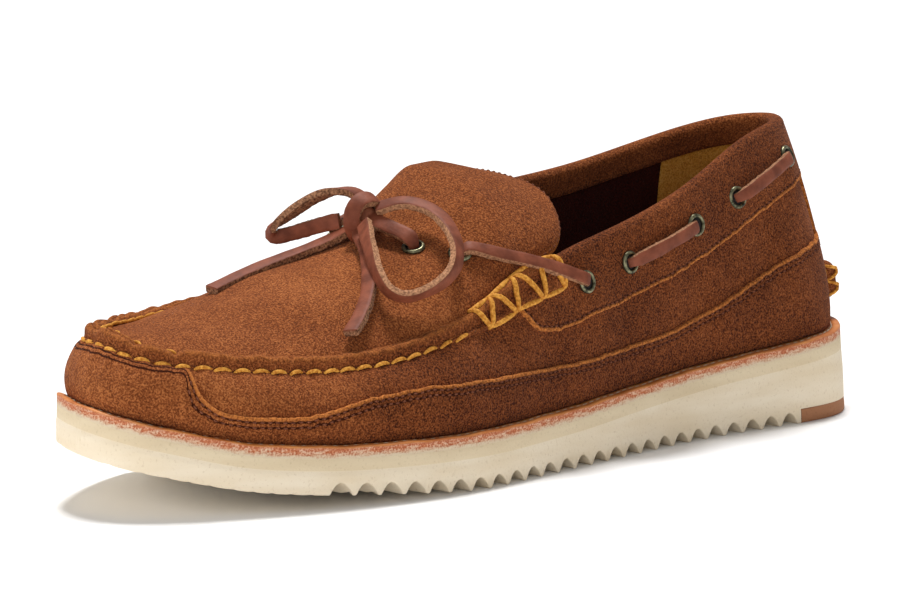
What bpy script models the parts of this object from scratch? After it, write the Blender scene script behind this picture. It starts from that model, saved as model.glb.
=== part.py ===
"""Camp moccasin, left shoe: toe at -Y, heel at +Y, the outer (lateral) side at +X, standing on Z = 0.

Every size below is in millimetres and is turned into metres as a mesh is made.
The shoe is drawn from stations round the sole: one closed curve through them is the outline,
and the wall of the upper rises from it to the top line that the same stations give.
"""
import bmesh
import bpy
import numpy as np
from mathutils import Matrix, Vector

MM = 0.001

# ---------------------------------------------------------------- driving sizes
GAP = 0.3                    # clearance between pieces that meet
WELT_THICK = 3.6             # leather midsole
STRIP_THICK = 3.2            # thin strip under it
SOLE_LEAN = 0.04             # the sole's side leans in this much for each millimetre of height
FOOT_GAP = 0.4               # under the upper, whose facets cross those of the welt
FOOT_INSET = 5.5             # the upper meets the welt this far inside the outline
WALL = 1.9                   # leather of the upper
STEP = 1.1                   # lower panel, collar band and heel strip stand this proud
INSOLE_INSET = 8.4
INSOLE_THICK = 2.4
SOLE_ROWS = 36

TOOTH_PITCH = 8.06
TOOTH_DEPTH = 3.7
TOOTH_FLAT = 0.3
FIRST_GROOVE_Y = -95.0
GROOVES = 25
INSERT_FRONT_Y = 107.8
INSERT_FRONT_HIGH = 4.3
INSERT_BACK_HIGH = 5.3

RIDGE_WIDE, RIDGE_HIGH = 5.0, 4.5      # raised moc seam
ROLL_WIDE, ROLL_HIGH = 3.8, 2.3        # rolled collar
APRON_THICK = 1.8
APRON_EMBED = 2.6                      # the apron's edge runs this far into the moc seam
APRON_RISE = 1.4

EYELET_RADIUS = 3.75
EYELET_BARREL = 2.85
EYELET_BORE = 2.3
EYELET_SIDES = 10
EYELET_HOLE = 3.45
EYELET_LIFT = 0.55                   # flange above the leather
EYELET_HIGH = 1.3
LACE_WIDE, LACE_THICK = 4.8, 2.1
LACE_THREADED = 3.0                    # width of the lace where it is drawn through an eyelet
LACE_ABOVE = 3.9                       # middle of the lace over an eyelet, above the leather
LACE_BELOW = 1.2                       # its hidden end, below the leather's face
CORD_RADIUS = 1.4                      # plain round stand-in for the free lace
CORD_SPACING = 3.6

# Along the shoe: underside of the outsole (toe spring) and top of the welt, both in the middle.
# twist: how much higher they lie for each millimetre towards the inner side.
PROFILE = [
    # y,     spring, welt_top, twist
    (-150.0, 17.4, 32.4, 0.150),
    (-145.0, 16.5, 31.3, 0.140),
    (-138.0, 14.9, 29.5, 0.115),
    (-131.0, 12.9, 27.4, 0.090),
    (-117.0, 9.1, 23.3, 0.055),
    (-103.0, 6.5, 20.8, 0.032),
    (-87.0, 4.3, 18.9, 0.014),
    (-72.0, 2.6, 17.9, 0.004),
    (-55.0, 1.0, 17.3, 0.0),
    (-36.0, 0.0, 17.1, 0.0),
    (0.0, 0.0, 18.0, 0.0),
    (35.0, 0.0, 20.4, 0.0),
    (70.0, 0.0, 23.0, 0.0),
    (105.0, 0.0, 25.4, 0.0),
    (150.0, 0.0, 28.8, 0.0),
]

# Stations round the sole, from the toe along the outer side to the heel and back on the inner side.
# x, y: outline on the floor. tx, ty, tz: top line. out0, up0: how far the wall leans out and rises
# on leaving the sole. out1, down1: the same on reaching the top line. ridge: 1 for the raised moc
# seam, 0 for the rolled collar. strip: 1 on the heel strip. cuts: columns up to the next station.
STATIONS = [
    # x,     y,      tx,    ty,     tz,   out0, up0, out1, down1, ridge, strip, cuts
    (-4.0, -150.0, -3.8, -139.9, 49.4, 2.0, 4.5, 3.0, 4.5, 1.0, 0.0, 3),      # toe
    (13.5, -144.9, 8.6, -136.6, 46.2, 2.5, 4.5, 4.5, 4.0, 1.0, 0.0, 3),
    (26.3, -131.0, 20.3, -123.5, 43.2, 3.0, 5.0, 7.0, 4.0, 1.0, 0.0, 4),
    (41.2, -105.0, 30.6, -98.5, 39.8, 3.5, 6.0, 7.0, 4.0, 1.0, 0.0, 3),
    (50.4, -76.0, 37.4, -76.0, 39.0, 3.5, 6.0, 7.5, 4.0, 1.0, 0.0, 3),
    (54.0, -46.0, 40.0, -46.0, 42.4, 3.5, 7.0, 8.0, 5.0, 1.0, 0.0, 3),        # ball, outer
    (50.6, -16.0, 38.4, -16.0, 51.6, 3.0, 9.0, 5.0, 9.0, 1.0, 0.0, 4),
    (47.3, 6.0, 36.8, 6.0, 61.2, 2.5, 12.0, 2.5, 12.0, 0.2, 0.0, 3),
    (44.0, 29.0, 35.7, 29.0, 67.0, 2.5, 14.0, 1.5, 15.0, 0.0, 0.0, 4),
    (40.0, 69.0, 31.6, 69.0, 77.8, 2.5, 15.0, 1.5, 18.0, 0.0, 0.0, 4),
    (41.0, 104.0, 24.4, 102.0, 89.2, 2.0, 16.0, 5.0, 20.0, 0.0, 0.0, 3),
    (37.5, 129.0, 17.4, 122.3, 92.2, 1.2, 17.0, 6.0, 19.0, 0.0, 0.0, 2),
    (23.0, 144.0, 9.4, 131.2, 92.5, 1.0, 17.0, 6.5, 18.0, 0.0, 0.0, 2),
    (1.8, 150.0, 0.5, 135.0, 92.4, 1.0, 17.0, 6.5, 18.0, 0.0, 1.0, 2),       # heel
    (-19.5, 144.0, -8.8, 131.0, 91.8, 1.0, 17.0, 6.5, 18.0, 0.0, 0.0, 2),
    (-32.5, 129.0, -16.8, 120.5, 89.8, 1.2, 17.0, 6.0, 19.0, 0.0, 0.0, 3),
    (-37.0, 104.0, -22.4, 101.0, 85.7, 2.0, 16.0, 5.0, 20.0, 0.0, 0.0, 3),
    (-35.5, 69.0, -27.0, 69.0, 79.4, 2.5, 15.0, 1.5, 18.0, 0.0, 0.0, 4),
    (-35.0, 29.0, -29.2, 29.0, 75.3, 2.5, 14.0, 1.5, 15.0, 0.0, 0.0, 4),
    (-39.0, 6.0, -31.2, 6.0, 70.6, 2.5, 12.0, 2.5, 12.0, 0.2, 0.0, 3),
    (-43.4, -16.0, -34.4, -16.0, 61.5, 3.0, 9.0, 5.0, 9.0, 1.0, 0.0, 3),
    (-51.0, -46.0, -38.3, -46.0, 52.8, 3.5, 7.0, 8.0, 5.0, 1.0, 0.0, 3),      # ball, inner
    (-54.0, -76.0, -40.4, -76.0, 48.8, 3.5, 6.0, 7.5, 4.0, 1.0, 0.0, 3),
    (-48.0, -105.0, -36.4, -101.0, 47.7, 3.5, 6.0, 7.0, 4.0, 1.0, 0.0, 4),
    (-34.3, -131.0, -27.4, -122.9, 48.2, 3.0, 5.0, 5.5, 4.0, 1.0, 0.0, 3),
    (-21.5, -144.9, -16.1, -136.5, 49.2, 2.5, 4.5, 3.5, 4.0, 1.0, 0.0, 3),
]

# Shares of the wall's height: top of the lower panel and foot of the collar band, and how much of
# STEP the band stands proud (0 in front of it).
OVERLAYS = [
    # y,     panel, band, band_proud
    (-150.0, 0.95, 0.97, 0.0),
    (-129.5, 0.95, 0.97, 0.0),
    (-127.5, 0.62, 0.97, 0.0),
    (-124.0, 0.45, 0.97, 0.0),
    (-119.0, 0.385, 0.97, 0.0),
    (-99.0, 0.40, 0.97, 0.0),
    (-77.0, 0.62, 0.97, 0.0),
    (-62.0, 0.65, 0.97, 0.0),
    (-45.0, 0.57, 0.97, 0.0),
    (-17.0, 0.42, 0.97, 0.0),
    (-13.5, 0.40, 0.86, 1.0),
    (-8.3, 0.36, 0.69, 1.0),
    (-1.0, 0.33, 0.56, 1.0),
    (11.0, 0.29, 0.545, 1.0),
    (50.0, 0.26, 0.57, 1.0),
    (69.0, 0.29, 0.585, 1.0),
    (104.0, 0.39, 0.65, 1.0),
    (129.0, 0.44, 0.73, 1.0),
    (150.0, 0.47, 0.76, 1.0),
]

# Section of the top edge: shares of its width inwards and of its height upwards.
TOP_EDGE = [(0.04, 0.42), (0.22, 0.84), (0.52, 1.0), (0.82, 0.86), (0.98, 0.42), (1.0, -0.10)]

# The apron and the tongue that grows from it: ridge line (crest) and power of its arch (1 an
# ellipse, 2 a parabola). The apron's own edges lie in the moc seam.
APRON_CREST = [
    # y,     x,     z,    power
    (-142.0, -4.0, 49.4, 2.0),
    (-128.0, -6.0, 51.2, 2.0),
    (-112.0, -7.0, 53.2, 1.9),
    (-93.0, -9.0, 56.8, 1.8),
    (-77.0, -9.0, 60.8, 1.6),
    (-53.0, -9.0, 66.0, 1.3),
    (-35.0, -9.0, 71.2, 1.0),
    (-20.0, -11.0, 79.6, 1.0),
    (-11.0, -14.0, 85.6, 1.0),
    (-4.0, -17.0, 89.4, 1.0),
    (5.0, -18.0, 89.6, 1.0),
    (14.0, -17.0, 87.2, 1.0),
    (21.0, -12.0, 85.0, 1.0),
]
APRON_JOINED_TO_Y = -10.0
# The tongue's free edges, outer and inner side.
TONGUE_EDGES = [
    # y,   out_x, out_z, in_x,  in_z
    (-4.0, 32.4, 60.2, -27.4, 73.5),
    (3.0, 31.8, 62.0, -26.0, 80.0),
    (9.5, 31.0, 64.2, -24.8, 84.0),
    (14.2, 29.0, 67.8, -23.6, 85.4),
    (17.2, 25.6, 72.2, -21.6, 85.6),
    (19.2, 20.2, 77.2, -18.0, 85.4),
    (20.2, 13.5, 80.6, -15.0, 85.2),
]
APRON_ACROSS = 12

# Eyelets: on the collar band by y and share of the wall's height, on the apron by y and share of
# the arch from its crest to its edge.
BAND_EYELETS = [(15.6, 0.80), (35.8, 0.80), (67.8, 0.81), (89.7, 0.80), (120.0, 0.86)]
APRON_EYELETS = [(-32.7, 0.335), (-24.5, 0.565)]

# Where the lace shows along the collar: the eyelets that each run joins, and how far it bows out.
LACE_RUNS = [
    # from, to, bow
    ("b", "1", 2.4),
    ("2", "3", 0.9),
    ("4", "5", 1.6),
]

# The bow. Each route runs from inside the knot; the loops come back to it.
KNOT_CENTRE = (-4.5, -37.0, 77.6)
KNOT_SIZE = (10.5, 9.5, 9.0)
KNOT_TURN = 0.7
END_OUTER = [
    (-4.0, -38.5, 76.0), (0.5, -42.0, 71.8), (8.0, -46.5, 69.2), (17.0, -53.0, 63.9),
    (24.5, -60.5, 58.0), (29.5, -68.0, 52.9), (33.2, -75.0, 49.2),
]
END_INNER = [
    (-5.0, -38.0, 75.6), (-9.5, -42.5, 72.3), (-13.5, -50.0, 69.2), (-16.0, -58.5, 67.0),
    (-16.6, -67.5, 64.9), (-16.6, -77.0, 62.7), (-16.0, -86.5, 60.4), (-15.0, -94.0, 58.7),
]
LOOP_OUTER = [
    (-0.2, -34.5, 79.7), (6.4, -30.0, 81.6), (12.4, -26.4, 80.4), (19.8, -26.4, 77.8),
    (27.4, -28.6, 73.6), (32.6, -31.6, 69.6), (35.4, -34.8, 65.6), (36.4, -39.6, 62.0),
    (35.4, -45.6, 59.2), (33.0, -52.0, 57.6), (30.0, -56.2, 59.2), (25.2, -56.4, 63.4),
    (18.0, -52.6, 68.0), (10.8, -48.2, 72.6), (3.0, -42.6, 75.9),
]
LOOP_INNER = [
    (-7.1, -32.9, 81.8), (-11.0, -34.6, 85.6), (-14.5, -38.6, 86.2), (-18.4, -42.4, 84.8),
    (-22.4, -46.8, 81.6), (-26.4, -51.6, 77.6), (-29.4, -55.4, 73.6), (-29.0, -54.6, 69.8),
    (-25.0, -50.2, 71.2), (-20.0, -46.0, 73.6), (-15.4, -43.2, 75.4), (-10.9, -40.6, 76.4),
]


# ---------------------------------------------------------------- curves
def smooth(table, at):
    """A cubic through the table's rows (first column the position), flat where they turn back."""
    rows = np.array(table, float)
    x, y = rows[:, 0], rows[:, 1:]
    step = np.diff(x)[:, None]
    slope = np.diff(y, axis=0) / step
    tangent = np.zeros_like(y)
    same = slope[:-1] * slope[1:] > 0
    mean = 2 * slope[:-1] * slope[1:] / np.where(same, slope[:-1] + slope[1:], 1)
    tangent[1:-1] = np.where(same, mean, 0)
    tangent[0], tangent[-1] = slope[0], slope[-1]
    at = np.clip(np.atleast_1d(at), x[0], x[-1])
    i = np.clip(np.searchsorted(x, at) - 1, 0, len(x) - 2)
    return hermite(y[i], y[i + 1], tangent[i] * step[i], tangent[i + 1] * step[i],
                   (at - x[i])[:, None] / step[i])


def hermite(a, b, tangent_a, tangent_b, t):
    return ((1 + 2 * t) * (1 - t) ** 2 * a + t * (1 - t) ** 2 * tangent_a
            + t * t * (3 - 2 * t) * b - t * t * (1 - t) * tangent_b)


def ring_curve(points, cuts):
    """The closed cubic spline by chord length through the points, with cuts[i] steps after point i."""
    points = np.array(points, float)
    count = len(points)
    chord = np.linalg.norm(np.roll(points, -1, axis=0) - points, axis=1)
    before = np.roll(chord, 1)
    system = np.zeros((count, count))
    for i in range(count):
        system[i, i - 1] = 1 / before[i]
        system[i, i] = 2 / before[i] + 2 / chord[i]
        system[i, (i + 1) % count] = 1 / chord[i]
    rise = (np.roll(points, -1, axis=0) - points) / chord[:, None] ** 2
    slopes = np.linalg.solve(system, 3 * (rise + np.roll(rise, 1, axis=0)))
    i, t = station_steps(cuts)
    after = (i + 1) % count
    span = chord[i][:, None]
    return hermite(points[i], points[after], slopes[i] * span, slopes[after] * span, t[:, None])


def station_steps(cuts):
    """The station before each column, and the column's share of the way to the next one."""
    i = np.repeat(np.arange(len(cuts)), cuts)
    t = np.concatenate([np.arange(n) / n for n in cuts])
    return i, t


def open_curve(points, count):
    """Catmull-Rom through the points, read at an even count of places."""
    points = np.array(points, float)
    tangent = np.gradient(points, axis=0)
    at = np.linspace(0, len(points) - 1, count)
    i = np.minimum(at.astype(int), len(points) - 2)
    return hermite(points[i], points[i + 1], tangent[i], tangent[i + 1], (at - i)[:, None])


def even_route(route, spacing):
    """The smooth curve through a route, read at steps of about this length."""
    fine = open_curve(route, 12 * len(route))
    along = np.concatenate([[0], np.cumsum(np.linalg.norm(np.diff(fine, axis=0), axis=1))])
    at = np.linspace(0, along[-1], max(4, round(along[-1] / spacing) + 1))
    return np.column_stack([np.interp(at, along, fine[:, k]) for k in range(3)])


def unit(v):
    return v / np.linalg.norm(v, axis=-1, keepdims=True)


def spring(x, y):
    low, _, twist = smooth(PROFILE, y).T
    return low - x * twist


def welt_top(x, y):
    _, high, twist = smooth(PROFILE, y).T
    return high - x * twist


# ---------------------------------------------------------------- the last
STATION = np.array([row[:-1] for row in STATIONS])
CUTS = [row[-1] for row in STATIONS]
FINE = [8] * len(STATIONS)


def outline(cuts):
    """Outline points and their outward directions, at the columns that the cuts give."""
    points = ring_curve(STATION[:, :2], cuts)
    along = unit(np.roll(points, -1, axis=0) - np.roll(points, 1, axis=0))
    return points, np.column_stack([-along[:, 1], along[:, 0]]) * turn_of(points)


def turn_of(points):
    """-1 for a ring that runs anticlockwise, so that its normals point out."""
    following = np.roll(points, -1, axis=0)
    area = np.sum(points[:, 0] * following[:, 1] - points[:, 1] * following[:, 0])
    return -np.sign(area)


def rows_across(inset, y_from=None, count=SOLE_ROWS):
    """Cross rows of the outline drawn in by inset: y, inner x and outer x, closer at the ends."""
    points, out = outline(FINE)
    ring = points - out * inset
    low, high = ring[:, 1].argmin(), ring[:, 1].argmax()
    order = np.roll(np.arange(len(ring)), -low)
    heel = (high - low) % len(ring)
    outer, inner = ring[order[:heel + 1]], ring[np.r_[order[heel:], order[:1]]][::-1]
    share = (1 - np.cos(np.linspace(0, np.pi, count))) / 2
    start, end = ring[low, 1] + 0.12, ring[high, 1] - 0.12
    if y_from is not None:
        start = y_from
        share = np.sin(np.linspace(0, np.pi / 2, count))
    y = start + share * (end - start)
    return y, np.interp(y, inner[:, 1], inner[:, 0]), np.interp(y, outer[:, 1], outer[:, 0])


class Wall:
    """The upper's wall: one Bezier a column, from its foot on the welt to the top line."""

    def __init__(self, cuts):
        plan, out = outline(cuts)
        i, t = station_steps(cuts)
        rest = STATION[i] + (STATION[(i + 1) % len(STATION)] - STATION[i]) * t[:, None]
        out0, up0, out1, down1, self.ridge, self.strip = rest[:, 5:].T
        self.top = ring_curve(STATION[:, 2:5], cuts)
        self.out = np.column_stack([out, np.zeros(len(out))])
        self.plan = plan
        foot = self.foot(0.0)
        up = np.array([0.0, 0.0, 1.0])
        self.poles = [foot, foot + self.out * out0[:, None] + up * up0[:, None],
                      self.top + self.out * out1[:, None] - up * down1[:, None], self.top]

    def foot(self, proud):
        """The wall's edge on the welt, moved outwards by proud."""
        edge = self.plan - self.out[:, :2] * (FOOT_INSET - proud)
        return np.column_stack([edge, welt_top(*edge.T) + FOOT_GAP])

    def at(self, v, proud=0.0):
        """Points at v (one a column) up the wall, moved out of it by proud; and the outward normals."""
        v = np.broadcast_to(v, len(self.top))[:, None]
        a, b, c, d = self.poles
        point = ((1 - v) ** 3 * a + 3 * v * (1 - v) ** 2 * b
                 + 3 * v * v * (1 - v) * c + v ** 3 * d)
        along = (1 - v) ** 2 * (b - a) + 2 * v * (1 - v) * (c - b) + v * v * (d - c)
        rise = along[:, 2:]
        lean = np.sum(along * self.out, axis=1, keepdims=True)
        normal = unit(self.out * rise - np.array([0.0, 0.0, 1.0]) * lean)
        return point + normal * np.broadcast_to(proud, len(v))[:, None], normal

    def v_of(self, share):
        """The v whose height is this share of the wall's, for each column."""
        steps = np.linspace(0, 1, 41)
        heights = np.array([self.at(v)[0][:, 2] for v in steps]).T
        low, high = heights[:, :1], heights[:, -1:]
        shares = (heights - low) / (high - low)
        share = np.broadcast_to(share, len(shares))
        return np.array([np.interp(s, row, steps) for s, row in zip(share, shares)])

    def side(self, outer):
        """Columns of one side between the toe and the heel, in order of y."""
        y = self.plan[:, 1]
        toe, heel = y.argmin(), y.argmax()
        count = len(y)
        if outer:
            return np.arange(toe, toe + (heel - toe) % count + 1) % count
        return np.arange(toe, toe - (toe - heel) % count - 1, -1) % count


def overlays(y):
    """Panel share, band share and the band's stand-out at each y."""
    rows = np.array(OVERLAYS)
    return [np.interp(y, rows[:, 0], rows[:, k]) for k in (1, 2, 3)]


# ---------------------------------------------------------------- meshes
collection = bpy.data.collections.new("camp_moccasin")
cutters = bpy.data.collections.new("cutters")


def clear_scene():
    for thing in list(bpy.data.objects):
        bpy.data.objects.remove(thing, do_unlink=True)
    for made in (collection, cutters):
        bpy.context.scene.collection.children.link(made)


def paint(name, colour, roughness, metallic=0.0):
    material = bpy.data.materials.new(name)
    material.use_nodes = True
    shader = material.node_tree.nodes["Principled BSDF"]
    shader.inputs["Base Color"].default_value = (*colour, 1.0)
    shader.inputs["Roughness"].default_value = roughness
    shader.inputs["Metallic"].default_value = metallic
    return material


def add(name, points, faces, material, cutter=False):
    """A mesh object from points in millimetres, its faces turned outwards."""
    mesh = bpy.data.meshes.new(name)
    mesh.from_pydata((np.asarray(points) * MM).tolist(), [], [tuple(f) for f in faces])
    bm = bmesh.new()
    bm.from_mesh(mesh)
    bmesh.ops.recalc_face_normals(bm, faces=bm.faces)
    if bm.calc_volume(signed=True) < 0:
        bmesh.ops.reverse_faces(bm, faces=bm.faces)
    bmesh.ops.triangulate(bm, faces=bm.faces)
    bm.to_mesh(mesh)
    bm.free()
    thing = bpy.data.objects.new(name, mesh)
    (cutters if cutter else collection).objects.link(thing)
    if cutter:
        thing.hide_render = True
        thing.display_type = "WIRE"
    else:
        mesh.materials.append(material)
        mesh.shade_smooth()
        mesh.set_sharp_from_angle(angle=0.6)
    return thing


def boolean(thing, operation, other):
    modifier = thing.modifiers.new(operation.lower(), "BOOLEAN")
    modifier.operation = operation
    modifier.object = other
    modifier.solver = "EXACT"


def tube_faces(rings, around, ends=True):
    """Quads between closed rings of points, ring by ring, with the first and last ring filled."""
    faces = []
    for i in range(rings - 1):
        for j in range(around):
            k = (j + 1) % around
            faces.append((i * around + j, i * around + k, (i + 1) * around + k, (i + 1) * around + j))
    if ends:
        faces += [tuple(range(around))[::-1], tuple((rings - 1) * around + j for j in range(around))]
    return faces


def layer(name, material, low, high, inset, y_from=None, count=SOLE_ROWS):
    """A slab of the sole: cross rows between heights low(x, y) and high(x, y), its side leaning in."""
    rings = []
    for height in (low, high):
        base = rows_across(inset, y_from, count)[0]
        lean = inset + SOLE_LEAN * float(np.median(height(0 * base, base)))
        y, inner, outer = rows_across(lean, y_from, count)
        rings += [np.column_stack([x, y, height(x, y)]) for x in (inner, outer)]
    low_in, low_out, high_in, high_out = rings
    points = np.stack([low_in, low_out, high_out, high_in], axis=1).reshape(-1, 3)
    return add(name, points, tube_faces(count, 4), material)


# ---------------------------------------------------------------- sole
def insert_top(x, y):
    share = (np.asarray(y) - INSERT_FRONT_Y) / (150.0 - INSERT_FRONT_Y)
    return INSERT_FRONT_HIGH + share * (INSERT_BACK_HIGH - INSERT_FRONT_HIGH) + 0 * x


def tread_cutter():
    """A comb pushed across under the outsole: round-topped grooves, then the room for the insert."""
    share = np.array([0, 0.1, 0.28, 0.5, 0.72, 0.9, 1.0])
    ends = []
    for x in (-80.0, 80.0):
        profile = [(FIRST_GROOVE_Y - TOOTH_PITCH, -6.0)]
        for groove in range(GROOVES):
            start = FIRST_GROOVE_Y + groove * TOOTH_PITCH + TOOTH_FLAT / 2
            y = start + share * (TOOTH_PITCH - TOOTH_FLAT)
            high = (TOOTH_DEPTH + 1.0) * np.abs(np.sin(np.pi * share)) ** 0.8
            profile += list(zip(y, spring(x, y) - 1.0 + high))
        front, back = INSERT_FRONT_Y - GAP, 160.0
        profile += [(front, -1.0), (front, INSERT_FRONT_HIGH + GAP),
                    (back, insert_top(x, back) + GAP), (back, -6.0)]
        ends.append(np.column_stack([np.full(len(profile), x), profile]))
    return add("tread_cutter", np.vstack(ends), tube_faces(2, len(profile)), None, cutter=True)


def make_sole():
    cream = paint("cream_rubber", (0.70, 0.60, 0.44), 0.75)
    grey = paint("strip_rubber", (0.60, 0.52, 0.36), 0.75)
    brown = paint("insert_rubber", (0.30, 0.13, 0.05), 0.7)
    tan = paint("welt_leather", (0.60, 0.28, 0.09), 0.5)
    sock = paint("insole_leather", (0.12, 0.04, 0.02), 0.7)

    def below(depth):
        return lambda x, y: welt_top(x, y) - depth

    strip_low = WELT_THICK + STRIP_THICK + GAP
    outsole = layer("outsole", cream, spring, below(strip_low + GAP), 0.0)
    boolean(outsole, "DIFFERENCE", tread_cutter())
    layer("heel_insert", brown, lambda x, y: 0 * y, insert_top, 0.0, y_from=INSERT_FRONT_Y, count=14)
    layer("midsole", grey, below(strip_low), below(WELT_THICK + GAP), 0.1)
    layer("welt", tan, below(WELT_THICK), below(0.0), 0.2)
    layer("insole", sock, below(-GAP), below(-GAP - INSOLE_THICK), INSOLE_INSET - 0.8)


# ---------------------------------------------------------------- upper
def upper_sections(wall):
    """Each column's closed section, as rows of points: up the outside, over the top, down the inside."""
    panel, band, proud = overlays(wall.at(0.5)[0][:, 1])
    v_panel, v_band = wall.v_of(panel), wall.v_of(band)
    band_step, heel_step = proud * STEP, wall.strip * STEP
    between = v_band - v_panel
    rows = [
        wall.at(v_panel / 2, STEP), wall.at(v_panel, STEP),
        wall.at(v_panel, heel_step), wall.at(v_panel + between / 3, heel_step),
        wall.at(v_panel + between * 2 / 3, heel_step), wall.at(v_band, heel_step),
        wall.at(v_band, band_step + 0.02), wall.at((v_band + 1) / 2, band_step), wall.at(1.0, band_step),
    ]
    rows = [wall.foot(STEP)] + [point for point, _ in rows]
    wide = ROLL_WIDE + (RIDGE_WIDE - ROLL_WIDE) * wall.ridge
    high = ROLL_HIGH + (RIDGE_HIGH - ROLL_HIGH) * wall.ridge
    for inwards, upwards in TOP_EDGE:
        rise = np.column_stack([np.zeros((len(high), 2)), upwards * high])
        rows.append(wall.top - wall.out * (inwards * wide)[:, None] + rise)
    rows += [wall.at(v, -WALL)[0] for v in (0.9, 0.6, 0.3)] + [wall.foot(-WALL)]
    return np.stack(rows, axis=1)


def apron_edges(wall, y):
    """Where the apron meets the moc seam on each side: x and z of the outer and of the inner edge."""
    edges = []
    for outer in (True, False):
        columns = wall.side(outer)
        line = wall.top[columns] - wall.out[columns] * APRON_EMBED + np.array([0, 0, APRON_RISE])
        columns_y = np.maximum.accumulate(line[:, 1])
        edges += [np.interp(y, columns_y, line[:, 0]), np.interp(y, columns_y, line[:, 2])]
    return edges


def apron_rows(wall, y):
    """Rows across the apron and tongue: outer edge, inner edge, crest and the power of the arch."""
    y = np.atleast_1d(np.asarray(y, float))
    joined = np.array(apron_edges(wall, np.minimum(y, APRON_JOINED_TO_Y))).T
    tongue = np.array(TONGUE_EDGES)
    joint = np.array([APRON_JOINED_TO_Y, *np.array(apron_edges(wall, APRON_JOINED_TO_Y)).ravel()])
    free = smooth(np.vstack([joint, tongue]), y)
    edge = np.where((y > APRON_JOINED_TO_Y)[:, None], free, joined)
    crest = smooth(APRON_CREST, y)
    return y, edge, crest


def apron_at(wall, y, share):
    """A point of the apron's outside: share 1 is its outer edge, 0 the crest and -1 its inner edge."""
    y, edge, crest = apron_rows(wall, y)
    share = np.atleast_1d(share)
    angle = np.abs(share) * np.pi / 2
    x_edge = np.where(share > 0, edge[:, 0], edge[:, 2])
    z_edge = np.where(share > 0, edge[:, 1], edge[:, 3])
    x = crest[:, 0] + (x_edge - crest[:, 0]) * np.sin(angle)
    z = z_edge + (crest[:, 1] - z_edge) * np.maximum(np.cos(angle), 0) ** crest[:, 2]
    return np.column_stack([x, y, z])


def apron_normal(wall, y, share):
    across = apron_at(wall, y, share + 0.03) - apron_at(wall, y, share - 0.03)
    along = apron_at(wall, y + 0.6, share) - apron_at(wall, y - 0.6, share)
    return unit(np.cross(along, across) * -1)


def apron_slab(wall, material):
    """The apron and tongue as one curved slab, its edges inside the moc seam's roll."""
    front = wall.top[:, 1].min() + APRON_EMBED + 0.1
    toe_y = front + 22 * (1 - np.cos(np.linspace(0.12, np.pi / 2, 5)))
    body_y = np.linspace(toe_y[-1], APRON_JOINED_TO_Y, 11)[1:]
    free_y = np.array([row[0] for row in TONGUE_EDGES])
    y = np.concatenate([toe_y, body_y, free_y])
    share = np.linspace(-1, 1, APRON_ACROSS + 1)
    outside = np.array([apron_at(wall, np.full(len(share), row), share) for row in y])
    across = np.gradient(outside, axis=1)
    along = np.gradient(outside, axis=0)
    normal = unit(np.cross(across, along))
    inside = outside - normal * APRON_THICK
    ring = np.concatenate([outside, inside[:, ::-1]], axis=1)
    return add("apron", ring.reshape(-1, 3), tube_faces(len(y), ring.shape[1]), material, cutter=True)


def make_upper(wall, holes):
    suede = paint("suede", (0.26, 0.085, 0.025), 0.85)
    sections = upper_sections(wall)
    columns, around = sections.shape[:2]
    faces = tube_faces(columns, around, ends=False)
    last = (columns - 1) * around
    for j in range(around):
        k = (j + 1) % around
        faces.append((last + j, last + k, k, j))
    upper = add("upper", sections.reshape(-1, 3), faces, suede)
    boolean(upper, "UNION", apron_slab(wall, None))
    boolean(upper, "DIFFERENCE", holes)
    return upper


# ---------------------------------------------------------------- eyelets
def band_face(wall, share):
    """Points and outward directions on the band's two rows of faces, a column each."""
    foot = wall.v_of(overlays(wall.at(0.5)[0][:, 1])[1])
    middle, v = (foot + 1) / 2, wall.v_of(share)
    low, high = np.where(v < middle, foot, middle), np.where(v < middle, middle, 1.0)
    below, above = wall.at(low, STEP)[0], wall.at(high, STEP)[0]
    point = below + (above - below) * ((v - low) / (high - low))[:, None]
    onwards = np.roll(point, -1, axis=0) - np.roll(point, 1, axis=0)
    normal = unit(np.cross(onwards, above - below))
    return point, normal * np.sign(np.sum(normal * wall.out, axis=1, keepdims=True))


def eyelet_seats(wall):
    """Each eyelet's name, seat on the leather and outward direction."""
    seats = []
    for side, outer in (("outer", True), ("inner", False)):
        columns = wall.side(outer)
        for number, (y, share) in enumerate(BAND_EYELETS, 1):
            points, normals = band_face(wall, share)
            found = [np.interp(y, points[columns, 1], values[columns, k])
                     for values in (points, normals) for k in range(3)]
            seats.append((f"eyelet_{side}_{number}", np.array(found[:3]), unit(np.array(found[3:]))))
        for place, (y, share) in zip("ab", APRON_EYELETS):
            share = share if outer else -share
            seats.append((f"eyelet_{side}_{place}", apron_at(wall, y, share)[0],
                          apron_normal(wall, y, share)[0]))
    return seats


def eyelet_holes(seats):
    """One mesh of short bars, a bar through the leather at each seat."""
    points, faces = [], []
    angle = np.arange(EYELET_SIDES) * 2 * np.pi / EYELET_SIDES
    circle = np.column_stack([np.cos(angle), np.sin(angle), 0 * angle]) * EYELET_HOLE
    for number, (_, seat, normal) in enumerate(seats):
        turn = np.array(Vector(normal).to_track_quat("Z", "Y").to_matrix())
        for depth in (-6.0, 4.0):
            points.append(seat + circle @ turn.T + normal * depth)
        base = number * 2 * EYELET_SIDES
        faces += [tuple(base + i for i in face) for face in tube_faces(2, EYELET_SIDES)]
    return add("eyelet_holes", np.vstack(points), faces, None, cutter=True)


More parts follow.
